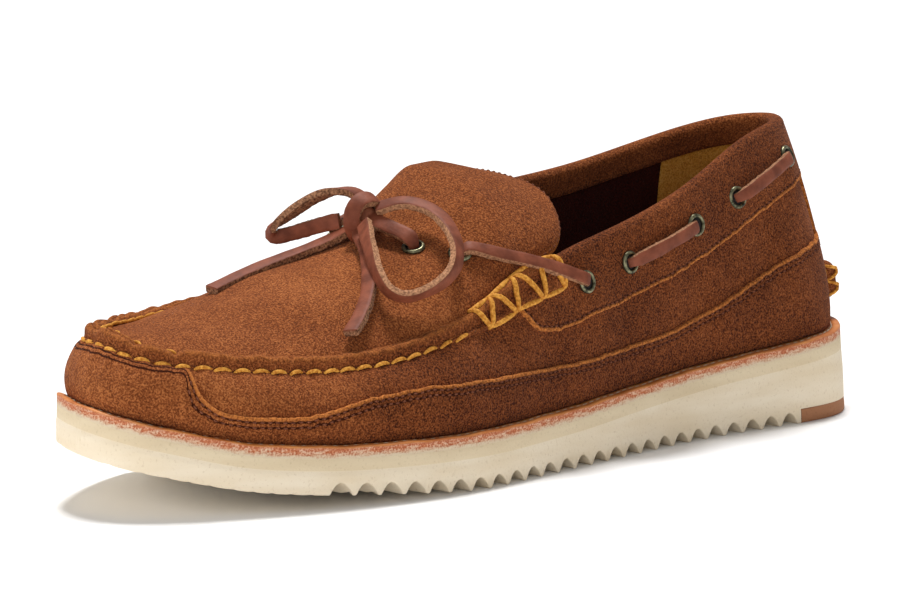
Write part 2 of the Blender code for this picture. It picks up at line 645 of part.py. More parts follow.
def make_eyelets(seats):
    brass = paint("old_brass", (0.12, 0.12, 0.07), 0.45, 0.9)
    profile = [
        # radius, height above the leather
        (3.0, EYELET_HIGH + EYELET_LIFT),
        (EYELET_RADIUS, EYELET_LIFT),
        (EYELET_BARREL, EYELET_LIFT),
        (EYELET_BARREL, -WALL - STEP - 0.3),
        (EYELET_BORE, -WALL - STEP - 0.3),
        (EYELET_BORE, 0.8 + EYELET_LIFT),
    ]
    mesh = bpy.data.meshes.new("eyelet")
    count = len(profile)
    mesh.from_pydata([(r * MM, 0, z * MM) for r, z in profile], [(i, (i + 1) % count) for i in range(count)], [])
    mesh.materials.append(brass)
    for name, seat, normal in seats:
        ring = bpy.data.objects.new(name, mesh)
        collection.objects.link(ring)
        ring.location = Vector(seat * MM)
        ring.rotation_euler = Vector(normal).to_track_quat("Z", "Y").to_euler()
        screw = ring.modifiers.new("turn", "SCREW")
        screw.axis = "Z"
        screw.steps = screw.render_steps = EYELET_SIDES
        screw.use_merge_vertices = True
        screw.merge_threshold = 1e-5
        screw.use_smooth_shade = True


# ---------------------------------------------------------------- lace
def make_runs(seats):
    """Flat lace from one eyelet to the next, its ends turned down into them."""
    lace = paint("lace_leather", (0.22, 0.08, 0.045), 0.6)
    where = {name: (seat, normal) for name, seat, normal in seats}
    for side in ("outer", "inner"):
        for first, last, bow in LACE_RUNS:
            (a, up_a), (b, up_b) = where[f"eyelet_{side}_{first}"], where[f"eyelet_{side}_{last}"]
            ahead = unit(b - a)
            over_a, over_b = a + up_a * LACE_ABOVE, b + up_b * LACE_ABOVE
            leave, reach = (unit(ahead - up * np.dot(ahead, up)) for up in (up_a, up_b))
            route = [a - up_a * LACE_BELOW, a + up_a * 1.6, over_a + leave * 1.8 - up_a * 0.3]
            for share in (0.3, 0.5, 0.7):
                lift = bow * np.sin(np.pi * share)
                route.append(over_a + (over_b - over_a) * share + unit(up_a + up_b) * lift)
            route += [over_b - reach * 1.8 - up_b * 0.3, b + up_b * 1.6, b - up_b * LACE_BELOW]
            path = open_curve(route, 18)
            tangent = unit(np.gradient(path, axis=0))
            up = unit(up_a + (up_b - up_a) * np.linspace(0, 1, len(path))[:, None])
            across = np.cross(np.broadcast_to(ahead, up.shape), up)
            across = unit(across - tangent * np.sum(across * tangent, axis=1, keepdims=True))
            flat = np.cross(tangent, across)
            near_end = np.minimum(np.arange(len(path)), np.arange(len(path))[::-1])
            wide = np.interp(near_end, [4, 8], [LACE_THREADED, LACE_WIDE])[:, None] / 2
            thick = LACE_THICK / 2
            ring = np.stack([path + across * wide + flat * thick, path - across * wide + flat * thick,
                             path - across * wide - flat * thick, path + across * wide - flat * thick], axis=1)
            add(f"lace_{side}_{first}_{last}", ring.reshape(-1, 3), tube_faces(len(path), 4), lace)
    return lace


def cord(name, route, material):
    """A round stand-in for the lace along a route: a bevelled curve with its ends filled."""
    curve = bpy.data.curves.new(name, "CURVE")
    curve.dimensions = "3D"
    curve.bevel_depth = CORD_RADIUS * MM
    curve.bevel_resolution = 2
    curve.use_fill_caps = True
    points = even_route(route, CORD_SPACING)
    spline = curve.splines.new("POLY")
    spline.points.add(len(points) - 1)
    for point, place in zip(spline.points, points):
        point.co = (*(place * MM), 1.0)
    curve.materials.append(material)
    thing = bpy.data.objects.new(name, curve)
    collection.objects.link(thing)
    return thing


def cord_mesh(name, route, material):
    """The same as a closed mesh, for a Boolean: its caps are welded on and the curve is removed."""
    curve = cord(name + "_curve", route, material)
    bpy.context.view_layer.update()
    ready = curve.evaluated_get(bpy.context.evaluated_depsgraph_get())
    mesh = bpy.data.meshes.new_from_object(ready)
    bm = bmesh.new()
    bm.from_mesh(mesh)
    bmesh.ops.remove_doubles(bm, verts=bm.verts, dist=1e-6)
    bmesh.ops.recalc_face_normals(bm, faces=bm.faces)
    bm.to_mesh(mesh)
    bm.free()
    thing = bpy.data.objects.new(name, mesh)
    thing.matrix_world = curve.matrix_world
    thing.hide_render = True
    thing.display_type = "WIRE"
    cutters.objects.link(thing)
    bpy.data.objects.remove(curve, do_unlink=True)
    return thing


def make_bow(seats, lace):
    """The knot, fused with its arms and free ends, and the two loops as pieces of their own."""
    centre = np.array(KNOT_CENTRE)
    bm = bmesh.new()
    bmesh.ops.create_uvsphere(bm, u_segments=14, v_segments=8, radius=0.5)
    size = [axis * MM for axis in KNOT_SIZE]
    bmesh.ops.scale(bm, verts=bm.verts, vec=size)
    bmesh.ops.rotate(bm, verts=bm.verts, cent=(0, 0, 0), matrix=Matrix.Rotation(KNOT_TURN, 3, "Y"))
    mesh = bpy.data.meshes.new("lace_knot")
    bm.to_mesh(mesh)
    bm.free()
    mesh.materials.append(lace)
    mesh.shade_smooth()
    knot = bpy.data.objects.new("lace_knot", mesh)
    collection.objects.link(knot)
    knot.location = Vector(centre * MM)
    where = {name: (seat, normal) for name, seat, normal in seats}
    routes = {"end_outer": END_OUTER, "end_inner": END_INNER}
    for side in ("outer", "inner"):
        seat, up = where[f"eyelet_{side}_a"]
        turn = seat + up * 3.4 + unit(centre - seat) * 1.6
        routes[f"arm_{side}"] = [seat - up * LACE_BELOW, seat + up * 1.6, turn, (turn + centre) / 2, centre]
    for name, route in routes.items():
        boolean(knot, "UNION", cord_mesh(name, route, lace))
        knot.modifiers[-1].name = name
    cord("lace_loop_outer", LOOP_OUTER, lace)
    cord("lace_loop_inner", LOOP_INNER, lace)


def main():
    clear_scene()
    wall = Wall(CUTS)
    seats = eyelet_seats(wall)
    make_sole()
    make_upper(wall, eyelet_holes(seats))
    make_eyelets(seats)
    make_bow(seats, make_runs(seats))


main()
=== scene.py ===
# %% [markdown]
# # A camp moccasin, dressed
# The object is one left shoe: a soft suede upper sewn like a moccasin, with a raised seam round the
# toe, a rolled collar with brass eyelets, a flat leather lace tied in a bow, and a thick sole of
# leather, a thin strip and pale crepe with a rippled tread. The solids of the shoe are made
# elsewhere. This script lays over each of them a finer surface with the wrinkles, cut edges,
# stitches and finishes of the real thing. Toe at -Y, heel at +Y, the outer side at +X, floor at Z = 0.

# %% Tools and the fixed frame
import math

import bpy
import numpy as np
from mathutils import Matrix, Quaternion, Vector


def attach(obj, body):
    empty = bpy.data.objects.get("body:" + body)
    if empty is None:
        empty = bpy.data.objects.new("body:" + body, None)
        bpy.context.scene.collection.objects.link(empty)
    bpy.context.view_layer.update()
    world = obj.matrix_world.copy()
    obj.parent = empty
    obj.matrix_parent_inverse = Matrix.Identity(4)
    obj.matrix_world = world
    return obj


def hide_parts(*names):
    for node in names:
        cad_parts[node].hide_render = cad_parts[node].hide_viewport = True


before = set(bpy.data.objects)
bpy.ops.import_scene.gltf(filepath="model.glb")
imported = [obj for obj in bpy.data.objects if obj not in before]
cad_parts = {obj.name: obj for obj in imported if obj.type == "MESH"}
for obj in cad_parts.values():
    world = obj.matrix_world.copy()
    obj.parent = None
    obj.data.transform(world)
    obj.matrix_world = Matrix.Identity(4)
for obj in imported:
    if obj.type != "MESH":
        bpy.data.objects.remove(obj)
MM = 0.001
chance = np.random.default_rng(11)


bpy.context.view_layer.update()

# %% [markdown]
# ## The camera
# The view is a three-quarter one from the outer front, a little above the floor, taken with a long
# lens so that the shoe hardly tapers. A direction, an aim and a distance are easier to read than a
# turned matrix, so the camera is placed from those.

# %% Camera
BACK = Vector((0.73669, -0.66099, 0.14277))
AIM = Vector((-0.00197, -0.0038, 0.04715))
FAR, LENS, ROLL_DEGREES = 1.6169, 208.41, -1.054  # distance in metres, focal length in millimetres
camera = bpy.data.objects.new("camera", bpy.data.cameras.new("camera"))
camera.data.lens = LENS
camera.data.sensor_width = 36.0
camera.location = AIM + BACK * FAR
camera.rotation_mode = "QUATERNION"
roll = Quaternion((0, 0, 1), math.radians(ROLL_DEGREES))
camera.rotation_quaternion = (-BACK).to_track_quat("-Z", "Y") @ roll
bpy.context.scene.collection.objects.link(camera)
bpy.context.scene.camera = camera
print("camera at", [round(v, 3) for v in camera.location])

# %% [markdown]
# ## Curves
# A shoe has hardly a straight line, so every edge here is a smooth curve through a few measured
# places. Cubic pieces are the usual choice: they pass through the places and stay smooth between
# them. Each helper works on a whole array of places at once.


# %% Curve helpers
def unit(v):
    """Each row divided by its own length."""
    return v / np.linalg.norm(v, axis=-1, keepdims=True)


def hermite(a, b, leave, reach, t):
    """The cubic from a to b that sets off along leave and arrives along reach."""
    return ((1 + 2 * t) * (1 - t) ** 2 * a + t * (1 - t) ** 2 * leave
            + t * t * (3 - 2 * t) * b - t * t * (1 - t) * reach)


def smooth(table, at):
    """Cubic through rows (first column the position): the slope at a row is the harmonic mean of the
    slopes beside it, or 0 where they turn back, so the curve never overshoots its rows."""
    rows = np.array(table, float)
    x, y = rows[:, 0], rows[:, 1:]
    step = np.diff(x)[:, None]
    slope = np.diff(y, axis=0) / step
    tangent = np.zeros_like(y)
    same = slope[:-1] * slope[1:] > 0
    mean = 2 * slope[:-1] * slope[1:] / np.where(same, slope[:-1] + slope[1:], 1)
    tangent[1:-1] = np.where(same, mean, 0)
    tangent[0], tangent[-1] = slope[0], slope[-1]
    at = np.clip(np.atleast_1d(at), x[0], x[-1])
    i = np.clip(np.searchsorted(x, at) - 1, 0, len(x) - 2)
    return hermite(y[i], y[i + 1], tangent[i] * step[i], tangent[i + 1] * step[i],
                   (at - x[i])[:, None] / step[i])


def closed_spline(points, steps):
    """Closed cubic spline by chord length: its slopes solve one linear system that makes the bending
    continuous at every point."""
    points = np.array(points, float)
    count = len(points)
    after = (np.arange(count) + 1) % count
    chord = np.linalg.norm(points[after] - points, axis=1)
    before = np.roll(chord, 1)
    system = np.diag(2 / before + 2 / chord)
    system[np.arange(count), np.arange(count) - 1] = 1 / before
    system[np.arange(count), after] = 1 / chord
    rise = (points[after] - points) / chord[:, None] ** 2
    slopes = np.linalg.solve(system, 3 * (rise + np.roll(rise, 1, axis=0)))
    i = np.repeat(np.arange(count), steps)
    t = np.tile(np.arange(steps) / steps, count)[:, None]
    span = chord[i][:, None]
    return hermite(points[i], points[after[i]], slopes[i] * span, slopes[after[i]] * span, t)


def open_curve(points, count):
    """Cubic through the points, each slope half the step between its neighbours."""
    points = np.array(points, float)
    tangent = np.gradient(points, axis=0)
    at = np.linspace(0, len(points) - 1, count)
    i = np.minimum(at.astype(int), len(points) - 2)
    return hermite(points[i], points[i + 1], tangent[i], tangent[i + 1], (at - i)[:, None])


def lengths(points):
    """Distance run along a row of points, 0 at the first."""
    return np.concatenate([[0], np.cumsum(np.linalg.norm(np.diff(points, axis=0), axis=1))])


def evenly(points, spacing):
    """The same row of points, read again at even distances of about spacing along it."""
    run = lengths(points)
    at = np.linspace(0, run[-1], max(3, round(run[-1] / spacing) + 1))
    return np.column_stack([np.interp(at, run, points[:, k]) for k in range(points.shape[1])])


def soften(values, width, closed=True):
    """Running mean over width places, done twice, which rounds corners. An open row is carried on past
    its ends, turned about them, so that the ends stay where they are."""
    kernel = np.ones(width) / width
    for _ in range(2):
        before, after = values[-width:], values[:width]
        if not closed:
            before = 2 * values[0] - values[width:0:-1]
            after = 2 * values[-1] - values[-2:-width - 2:-1]
        values = np.convolve(np.concatenate([before, values, after]), kernel, "same")[width:-width]
    return values


# %% [markdown]
# ## Meshes
# Almost everything is a grid: rows of points joined by four-sided faces. A grid may close on itself
# one way (a belt), both ways (a ring with a hollow) or neither (a flap). The helper puts whole
# arrays into the mesh and turns the faces outwards.


# %% Mesh helpers
def grid_faces(rows, columns, close_rows=False, close_columns=False):
    """Corner numbers of the four-sided faces between neighbours on a grid."""
    i = np.arange(rows if close_rows else rows - 1)[:, None]
    j = np.arange(columns if close_columns else columns - 1)[None, :]
    i1, j1 = (i + 1) % rows, (j + 1) % columns
    corners = [i * columns + j, i * columns + j1, i1 * columns + j1, i1 * columns + j]
    return np.stack(corners, axis=-1).reshape(-1, 4)


def fan_faces(ring, middle):
    """Triangles from each step of a ring of corner numbers to one middle corner, as rows of 3."""
    return np.column_stack([ring, np.roll(ring, -1), np.full(len(ring), middle)])


def make(name, points, quads, finish, slot, node="upper", triangles=None, outward=None, sharp=None,
         wall=None, **marks):
    """A mesh from millimetre points, four-sided faces and triangles. outward (one direction a point) or,
    without it, the signed volume, a sum of (a x b) . c over the faces, says whether the faces must be
    turned; wall gives an open sheet its thickness inwards. Each mark is a number a point."""
    points = np.asarray(points, float).reshape(-1, 3)
    triangles = np.zeros((0, 3), int) if triangles is None else triangles
    if outward is None:
        a, b, c, d = (points[quads[:, k]] for k in range(4))
        volume = np.sum(np.cross(a, b) * c) + np.sum(np.cross(a, c) * d)
        a, b, c = (points[triangles[:, k]] for k in range(3))
        turned = volume + np.sum(np.cross(a, b) * c) < 0
    else:
        first, second = (points[quads[:, k + 2]] - points[quads[:, k]] for k in (0, 1))
        turned = np.sum(np.cross(first, second) * outward.reshape(-1, 3)[quads[:, 0]]) < 0
    if turned:
        quads, triangles = quads[:, ::-1], triangles[:, ::-1]
    corners = np.concatenate([quads.ravel(), triangles.ravel()])
    sides = np.concatenate([np.full(len(quads), 4), np.full(len(triangles), 3)])
    mesh = bpy.data.meshes.new(name)
    mesh.vertices.add(len(points))
    mesh.vertices.foreach_set("co", (points * MM).ravel().astype(np.float32))
    mesh.loops.add(len(corners))
    mesh.loops.foreach_set("vertex_index", corners.astype(np.int32))
    mesh.polygons.add(len(sides))
    starts = np.concatenate([[0], np.cumsum(sides)[:-1]])
    mesh.polygons.foreach_set("loop_start", starts.astype(np.int32))
    mesh.polygons.foreach_set("loop_total", sides.astype(np.int32))
    for mark, values in marks.items():
        kept = mesh.attributes.new(mark, "FLOAT", "POINT")
        kept.data.foreach_set("value", np.asarray(values, np.float32).ravel())
    mesh.update(calc_edges=True)
    mesh.validate()
    mesh.materials.append(finish)
    mesh.shade_smooth()
    if sharp:
        mesh.set_sharp_from_angle(angle=sharp)
    piece = bpy.data.objects.new(name, mesh)
    bpy.context.scene.collection.objects.link(piece)
    if wall:
        thick = piece.modifiers.new("thickness", "SOLIDIFY")
        thick.thickness, thick.offset = wall * MM, -1.0
        thick.use_even_offset = False
    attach(piece, "root")
    if node:
        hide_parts(*([node] if isinstance(node, str) else node))
    print(f"{name}: {len(points)} points, {len(sides)} faces")
    return piece


# %% [markdown]
# ## Finishes
# Suede, raw leather edges, waxed thread, crepe rubber and worn brass differ mostly in how their
# colour breaks up and how rough they are. Each is a Principled shader fed by noise at two or three
# sizes, read from Object coordinates so that the pattern stays on the leather. Where a leather is
# cut, the mesh carries a number named "raw" (1 on the cut), which mixes in the paler fuzzy edge.


# %% Finish helpers
def tint(red, green, blue):
    """A colour given in screen values from 0 to 255, turned into the linear light that shaders use."""
    shares = np.array([red, green, blue]) / 255
    return (*np.where(shares > 0.04045, ((shares + 0.055) / 1.055) ** 2.4, shares / 12.92).tolist(), 1.0)


class Finish:
    """A material under construction: methods add a node and give back its output."""

    def __init__(self, name, roughness, **settings):
        """settings are inputs of the Principled shader, with _ for a space."""
        self.material = bpy.data.materials.new(name)
        self.material.use_nodes = True
        self.tree = self.material.node_tree
        self.shader = self.tree.nodes["Principled BSDF"]
        self.place = self.tree.nodes.new("ShaderNodeTexCoord").outputs["Object"]
        self.shader.inputs["Roughness"].default_value = roughness
        for key, value in settings.items():
            self.shader.inputs[key.replace("_", " ")].default_value = value

    def node(self, kind, *values):
        """A new node of the tree, with its first inputs filled."""
        made = self.tree.nodes.new(f"ShaderNode{kind}")
        for socket, value in zip(made.inputs, values):
            self.fill(socket, value)
        return made

    def fill(self, socket, value):
        """Puts a number or a colour into an input, or joins another node's output to it."""
        if isinstance(value, bpy.types.NodeSocket):
            self.tree.links.new(value, socket)
        else:
            socket.default_value = value

    def noise(self, size, detail=2.0, place=None):
        """Smooth noise whose lumps are about size millimetres across, from 0 to 1."""
        made = self.node("TexNoise", self.place if place is None else place)
        made.inputs["Scale"].default_value = 1000 / size
        made.inputs["Detail"].default_value = detail
        return made.outputs[0]

    def ramp(self, value, low, high, first=0.0, last=1.0):
        """value between low and high, stretched to run from first to last."""
        return self.node("MapRange", value, low, high, first, last).outputs[0]

    def mark(self, name):
        """The number of this name that the mesh carries at each point."""
        made = self.node("Attribute")
        made.attribute_name = name
        return made.outputs["Fac"]

    def math(self, operation, first, second):
        """The result of one operation, such as ADD, on two numbers."""
        made = self.node("Math", first, second)
        made.operation = operation
        return made.outputs[0]

    def add(self, first, second):
        """first + second."""
        return self.math("ADD", first, second)

    def times(self, first, second):
        """first x second."""
        return self.math("MULTIPLY", first, second)

    def mix(self, share, first, second):
        """Colour first where share is 0 and second where it is 1."""
        made = self.node("Mix", share)
        made.data_type = "RGBA"
        self.fill(made.inputs[6], first)
        self.fill(made.inputs[7], second)
        return made.outputs[2]

    def done(self, colour, height=None, depth=0.1, strength=1.0, rough=None):
        """Colour in, and height as a bump of depth millimetres."""
        self.fill(self.shader.inputs["Base Color"], colour)
        if height is not None:
            bump = self.node("Bump")
            bump.inputs["Strength"].default_value = strength
            bump.inputs["Distance"].default_value = depth * MM
            self.fill(bump.inputs["Height"], height)
            self.fill(self.shader.inputs["Normal"], bump.outputs[0])
        if rough is not None:
            self.fill(self.shader.inputs["Roughness"], rough)
        return self.material


# %% Suede and thread
def suede(name, dark, middle, light, cut):
    """Napped leather: fine speckle over slow clouds of tone, darker by painted shade where "shade" is 1,
    and a pale cut edge where "raw" is 1. The share of the light tint is 0.7 speckle + 0.3 cloud - 0.3 shade."""
    finish = Finish(name, 0.95, Sheen_Weight=0.04, Sheen_Roughness=0.5)
    finish.shader.inputs["Specular IOR Level"].default_value = 0.06
    speckle = finish.noise(0.55, 2.0)
    cloud = finish.noise(22.0, 2.0)
    smear = finish.noise(2.4, 3.0)
    fine = finish.ramp(speckle, 0.34, 0.66)
    slow = finish.ramp(finish.add(finish.times(cloud, 0.6), finish.times(smear, 0.4)), 0.32, 0.66)
    share = finish.add(finish.times(fine, 0.70), finish.times(slow, 0.30))
    # painted shade: the share of the light tint drops where the mark "shade" is high
    share = finish.math("SUBTRACT", share, finish.times(finish.mark("shade"), 0.30))
    colour = finish.mix(finish.ramp(share, -0.15, 0.45), dark, middle)
    colour = finish.mix(finish.ramp(share, 0.45, 1.0), colour, light)
    fuzz = finish.times(finish.mark("raw"), finish.ramp(finish.noise(0.7, 3.0), 0.34, 0.62, 0.1, 1.0))
    colour = finish.mix(fuzz, colour, cut)
    height = finish.add(speckle, finish.times(smear, 0.5))
    return finish.done(colour, height, 0.75, 0.9)


def thread(name, dark, light):
    """Waxed thread: a dark and a light tint mixed by fibres about a millimetre long."""
    finish = Finish(name, 0.7)
    finish.shader.inputs["Specular IOR Level"].default_value = 0.15
    share = finish.ramp(finish.noise(0.9, 3.0), 0.3, 0.7)
    return finish.done(finish.mix(share, dark, light), finish.noise(0.5), 0.15, 0.6)


brown = suede("suede", tint(58, 23, 8), tint(136, 73, 37), tint(192, 118, 66), tint(208, 128, 62))
inside = suede("lining", tint(34, 7, 4), tint(58, 16, 9), tint(82, 30, 16), tint(110, 60, 35))
mustard = suede("heel_lining", tint(160, 98, 32), tint(216, 150, 60), tint(240, 184, 96), tint(240, 190, 110))
gold = thread("gold_thread", tint(172, 100, 26), tint(240, 176, 78))
tonal = thread("brown_thread", tint(84, 42, 28), tint(140, 84, 58))
pale = thread("welt_thread", tint(190, 160, 130), tint(228, 205, 180))
print("leather and thread are ready")

# %% [markdown]
# ## The last
# A shoe is built round a last, a solid foot. Its shape is kept as stations round the sole: where the
# outline is, where the top line is above it, and how the wall between them bulges. The wall itself is
# one cubic Bezier curve a column, so that any place on the leather can be named by how far it lies
# round the shoe and how far up the wall, both in millimetres. Panels, bands and stitches are all laid
# out in those two numbers, as a pattern cutter would draw them flat.

# %% Sizes of the last
GAP = 0.3
WELT_THICK, STRIP_THICK = 3.6, 3.2
SOLE_LEAN = 0.04
FOOT_GAP, FOOT_INSET = 0.4, 5.5
WALL, STEP = 1.9, 1.1
ROLL_WIDE, ROLL_HIGH = 3.8, 2.3
APRON_THICK, APRON_EMBED, APRON_RISE = 1.8, 2.6, 1.4
PROFILE = [
    # y,     spring, welt_top, twist
    (-150.0, 17.4, 32.4, 0.150),
    (-145.0, 16.5, 31.3, 0.140),
    (-138.0, 14.9, 29.5, 0.115),
    (-131.0, 12.9, 27.4, 0.090),
    (-117.0, 9.1, 23.3, 0.055),
    (-103.0, 6.5, 20.8, 0.032),
    (-87.0, 4.3, 18.9, 0.014),
    (-72.0, 2.6, 17.9, 0.004),
    (-55.0, 1.0, 17.3, 0.0),
    (-36.0, 0.0, 17.1, 0.0),
    (0.0, 0.0, 18.0, 0.0),
    (35.0, 0.0, 20.4, 0.0),
    (70.0, 0.0, 23.0, 0.0),
    (105.0, 0.0, 25.4, 0.0),
    (150.0, 0.0, 28.8, 0.0),
]
STATIONS = [
    # x,     y,      tx,    ty,     tz,   out0, up0, out1, down1
    (-4.0, -150.0, -3.8, -139.9, 49.4, 2.0, 4.5, 3.0, 4.5),      # toe
    (13.5, -144.9, 8.6, -136.6, 46.2, 2.5, 4.5, 4.5, 4.0),
    (26.3, -131.0, 20.3, -123.5, 43.2, 3.0, 5.0, 7.0, 4.0),
    (41.2, -105.0, 30.6, -98.5, 39.8, 3.5, 6.0, 7.0, 4.0),
    (50.4, -76.0, 37.4, -76.0, 39.0, 3.5, 6.0, 7.5, 4.0),
    (54.0, -46.0, 40.0, -46.0, 42.4, 3.5, 7.0, 8.0, 5.0),        # ball, outer
    (50.6, -16.0, 38.4, -16.0, 51.6, 3.0, 9.0, 5.0, 9.0),
    (47.3, 6.0, 36.8, 6.0, 61.2, 2.5, 12.0, 2.5, 12.0),
    (44.0, 29.0, 35.7, 29.0, 67.0, 2.5, 14.0, 1.5, 15.0),
    (40.0, 69.0, 31.6, 69.0, 77.8, 2.5, 15.0, 1.5, 18.0),
    (41.0, 104.0, 24.4, 102.0, 89.2, 2.0, 16.0, 5.0, 20.0),
    (37.5, 129.0, 17.4, 122.3, 92.2, 1.2, 17.0, 6.0, 19.0),
    (23.0, 144.0, 9.4, 131.2, 92.5, 1.0, 17.0, 6.5, 18.0),
    (1.8, 150.0, 0.5, 135.0, 92.4, 1.0, 17.0, 6.5, 18.0),        # heel
    (-19.5, 144.0, -8.8, 131.0, 91.8, 1.0, 17.0, 6.5, 18.0),
    (-32.5, 129.0, -16.8, 120.5, 89.8, 1.2, 17.0, 6.0, 19.0),
    (-37.0, 104.0, -22.4, 101.0, 85.7, 2.0, 16.0, 5.0, 20.0),
    (-35.5, 69.0, -27.0, 69.0, 79.4, 2.5, 15.0, 1.5, 18.0),
    (-35.0, 29.0, -29.2, 29.0, 75.3, 2.5, 14.0, 1.5, 15.0),
    (-39.0, 6.0, -31.2, 6.0, 70.6, 2.5, 12.0, 2.5, 12.0),
    (-43.4, -16.0, -34.4, -16.0, 61.5, 3.0, 9.0, 5.0, 9.0),
    (-51.0, -46.0, -38.3, -46.0, 52.8, 3.5, 7.0, 8.0, 5.0),      # ball, inner
    (-54.0, -76.0, -40.4, -76.0, 48.8, 3.5, 6.0, 7.5, 4.0),
    (-48.0, -105.0, -36.4, -101.0, 47.7, 3.5, 6.0, 7.0, 4.0),
    (-34.3, -131.0, -27.4, -122.9, 48.2, 3.0, 5.0, 5.5, 4.0),
    (-21.5, -144.9, -16.1, -136.5, 49.2, 2.5, 4.5, 3.5, 4.0),
]
STATION = np.array(STATIONS)
DENSE, UP_STEPS = 40, 64  # steps between two stations, and up the wall
PITCH = 6.2  # of the heavy stitches
UP = np.array([0.0, 0.0, 1.0])


def spring(x, y):
    """Height of the sole's underside."""
    low, _, twist = smooth(PROFILE, y).T
    return low - x * twist


def welt_top(x, y):
    """Height of the welt's upper face."""
    _, high, twist = smooth(PROFILE, y).T
    return high - x * twist


def outline(points):
    """Outward direction at each point of a closed plan that runs anticlockwise or clockwise."""
    along = unit(np.roll(points, -1, axis=0) - np.roll(points, 1, axis=0))
    turned = np.roll(points, -1, axis=0)
    area = np.sum(points[:, 0] * turned[:, 1] - points[:, 1] * turned[:, 0])
    return np.column_stack([along[:, 1], -along[:, 0]]) * np.sign(area)


# %% The wall in two numbers
class Wall:
    """The outside of the upper. a is the way round in millimetres from the toe by the outer side, and h
    the way up from the sole along the leather."""

    def __init__(self, spacing):
        """Columns at even steps of the mean of the plan's and the top line's own lengths."""
        plan = closed_spline(STATION[:, :2], DENSE)
        top = closed_spline(STATION[:, 2:5], DENSE)
        step = (np.linalg.norm(np.roll(plan, -1, 0) - plan, axis=1)
                + np.linalg.norm(np.roll(top, -1, 0) - top, axis=1)) / 2
        run = np.concatenate([[0], np.cumsum(step)])
        self.long = run[-1]
        self.count = round(self.long / spacing)
        self.a = np.arange(self.count) * self.long / self.count

        def even(values):
            """Values given along the spline, read at the columns."""
            return np.interp(self.a, run, np.append(values, values[0]))

        self.plan = np.column_stack([even(plan[:, k]) for k in (0, 1)])
        self.top = np.column_stack([even(top[:, k]) for k in (0, 1, 2)])
        self.out = np.column_stack([outline(self.plan), np.zeros(self.count)])
        share = np.arange(DENSE) / DENSE
        after = np.roll(STATION, -1, axis=0)
        out0, up0, out1, down1 = (
            even(soften((STATION[:, k, None] + (after - STATION)[:, k, None] * share).ravel(), DENSE // 2))
            for k in range(5, 9))
        foot = self.foot(0.0)
        self.poles = np.stack([foot, foot + self.out * out0[:, None] + UP * up0[:, None],
                               self.top + self.out * out1[:, None] - UP * down1[:, None], self.top])
        steps = np.linspace(0, 1, UP_STEPS + 1)
        points = self.bezier(self.poles[:, None], steps[:, None, None])[0]
        run = np.concatenate([np.zeros((1, self.count)), np.cumsum(
            np.linalg.norm(np.diff(points, axis=0), axis=2), axis=0)])
        self.tall = run[-1]
        self.v_at = np.array([np.interp(steps, row / row[-1], steps) for row in run.T])
        rise = (points[:, :, 2] - points[0, :, 2]) / (points[-1, :, 2] - points[0, :, 2])
        self.q_at = np.array([np.interp(steps, r, row / row[-1]) for r, row in zip(rise.T, run.T)])
        self.middle_y = points[UP_STEPS // 2, :, 1]

    def foot(self, proud):
        """The wall's edge on the welt, moved outwards by proud."""
        edge = self.plan - self.out[:, :2] * (FOOT_INSET - proud)
        return np.column_stack([edge, welt_top(*edge.T) + FOOT_GAP])

    @staticmethod
    def bezier(poles, v):
        """Cubic Bezier point, and its direction, of four poles at v."""
        a, b, c, d = poles
        point = (1 - v) ** 3 * a + 3 * v * (1 - v) ** 2 * b + 3 * v * v * (1 - v) * c + v ** 3 * d
        return point, (1 - v) ** 2 * (b - a) + 2 * v * (1 - v) * (c - b) + v * v * (d - c)

    def between(self, table, a):
        """Rows of a table (one a column) read at any a, in straight steps round the ring."""
        at = np.mod(a / self.long * self.count, self.count)
        i = np.floor(at).astype(int) % self.count
        t = (at - np.floor(at)).reshape(at.shape + (1,) * (table.ndim - 1))
        return table[i] * (1 - t) + table[(i + 1) % self.count] * t

    def read(self, table, a, share):
        """A (column, share) table read at any a and share, in straight steps."""
        rows = self.between(table, a)
        at = np.clip(share, 0, 1) * UP_STEPS
        j = np.minimum(at.astype(int), UP_STEPS - 1)
        low, high = (np.take_along_axis(rows, k[..., None], -1)[..., 0] for k in (j, j + 1))
        return low + (high - low) * (at - j)

    def height(self, a, share):
        """The h whose height above the foot is this share of the wall's."""
        return self.read(self.q_at, a, share) * self.between(self.tall, a)

    def swell(self, a, h):
        """Soft unevenness of the leather: slow waves, and small gathers below the moc seam at the toe."""
        tall = self.between(self.tall, a)
        q = np.clip(h / tall, 0, 1)
        turn = 2 * np.pi * a / self.long
        waves = (0.30 * np.sin(11 * turn + 2.5 * q) + 0.26 * np.sin(19 * turn - 4.0 * q + 1.0)
                 + 0.16 * np.sin(37 * turn + 6.0 * q)) * np.sin(np.pi * q) ** 0.8
        toe = np.exp(-((np.mod(a + self.long / 2, self.long) - self.long / 2) / 75) ** 4)
        gather = np.cos(2 * np.pi * a / PITCH) + 0.5 * np.sin(2 * np.pi * a / (2.7 * PITCH))
        return waves * 0.8 + 0.34 * toe * gather * np.exp(-(tall - h) / 5.0)

    def on(self, a, h, proud=0.0):
        """Points at (a, h), moved out of the leather by proud, and the outward directions."""
        a, h, proud = np.broadcast_arrays(np.asarray(a, float), np.asarray(h, float), proud)
        v = self.read(self.v_at, a, h / self.between(self.tall, a))[..., None]
        point, along = self.bezier([self.between(pole, a) for pole in self.poles], v)
        out = self.between(self.out, a)
        lean = np.sum(along * out, axis=-1, keepdims=True)
        normal = unit(out * along[..., 2:] - UP * lean)
        return point + normal * (proud + self.swell(a, h))[..., None], normal

    def rim(self, a, inwards, upwards):
        """Points beside the top line, by distances inwards and upwards from it."""
        a, inwards, upwards = np.broadcast_arrays(a, inwards, upwards)
        return (self.between(self.top, a) - self.between(self.out, a) * inwards[..., None]
                + UP * upwards[..., None])

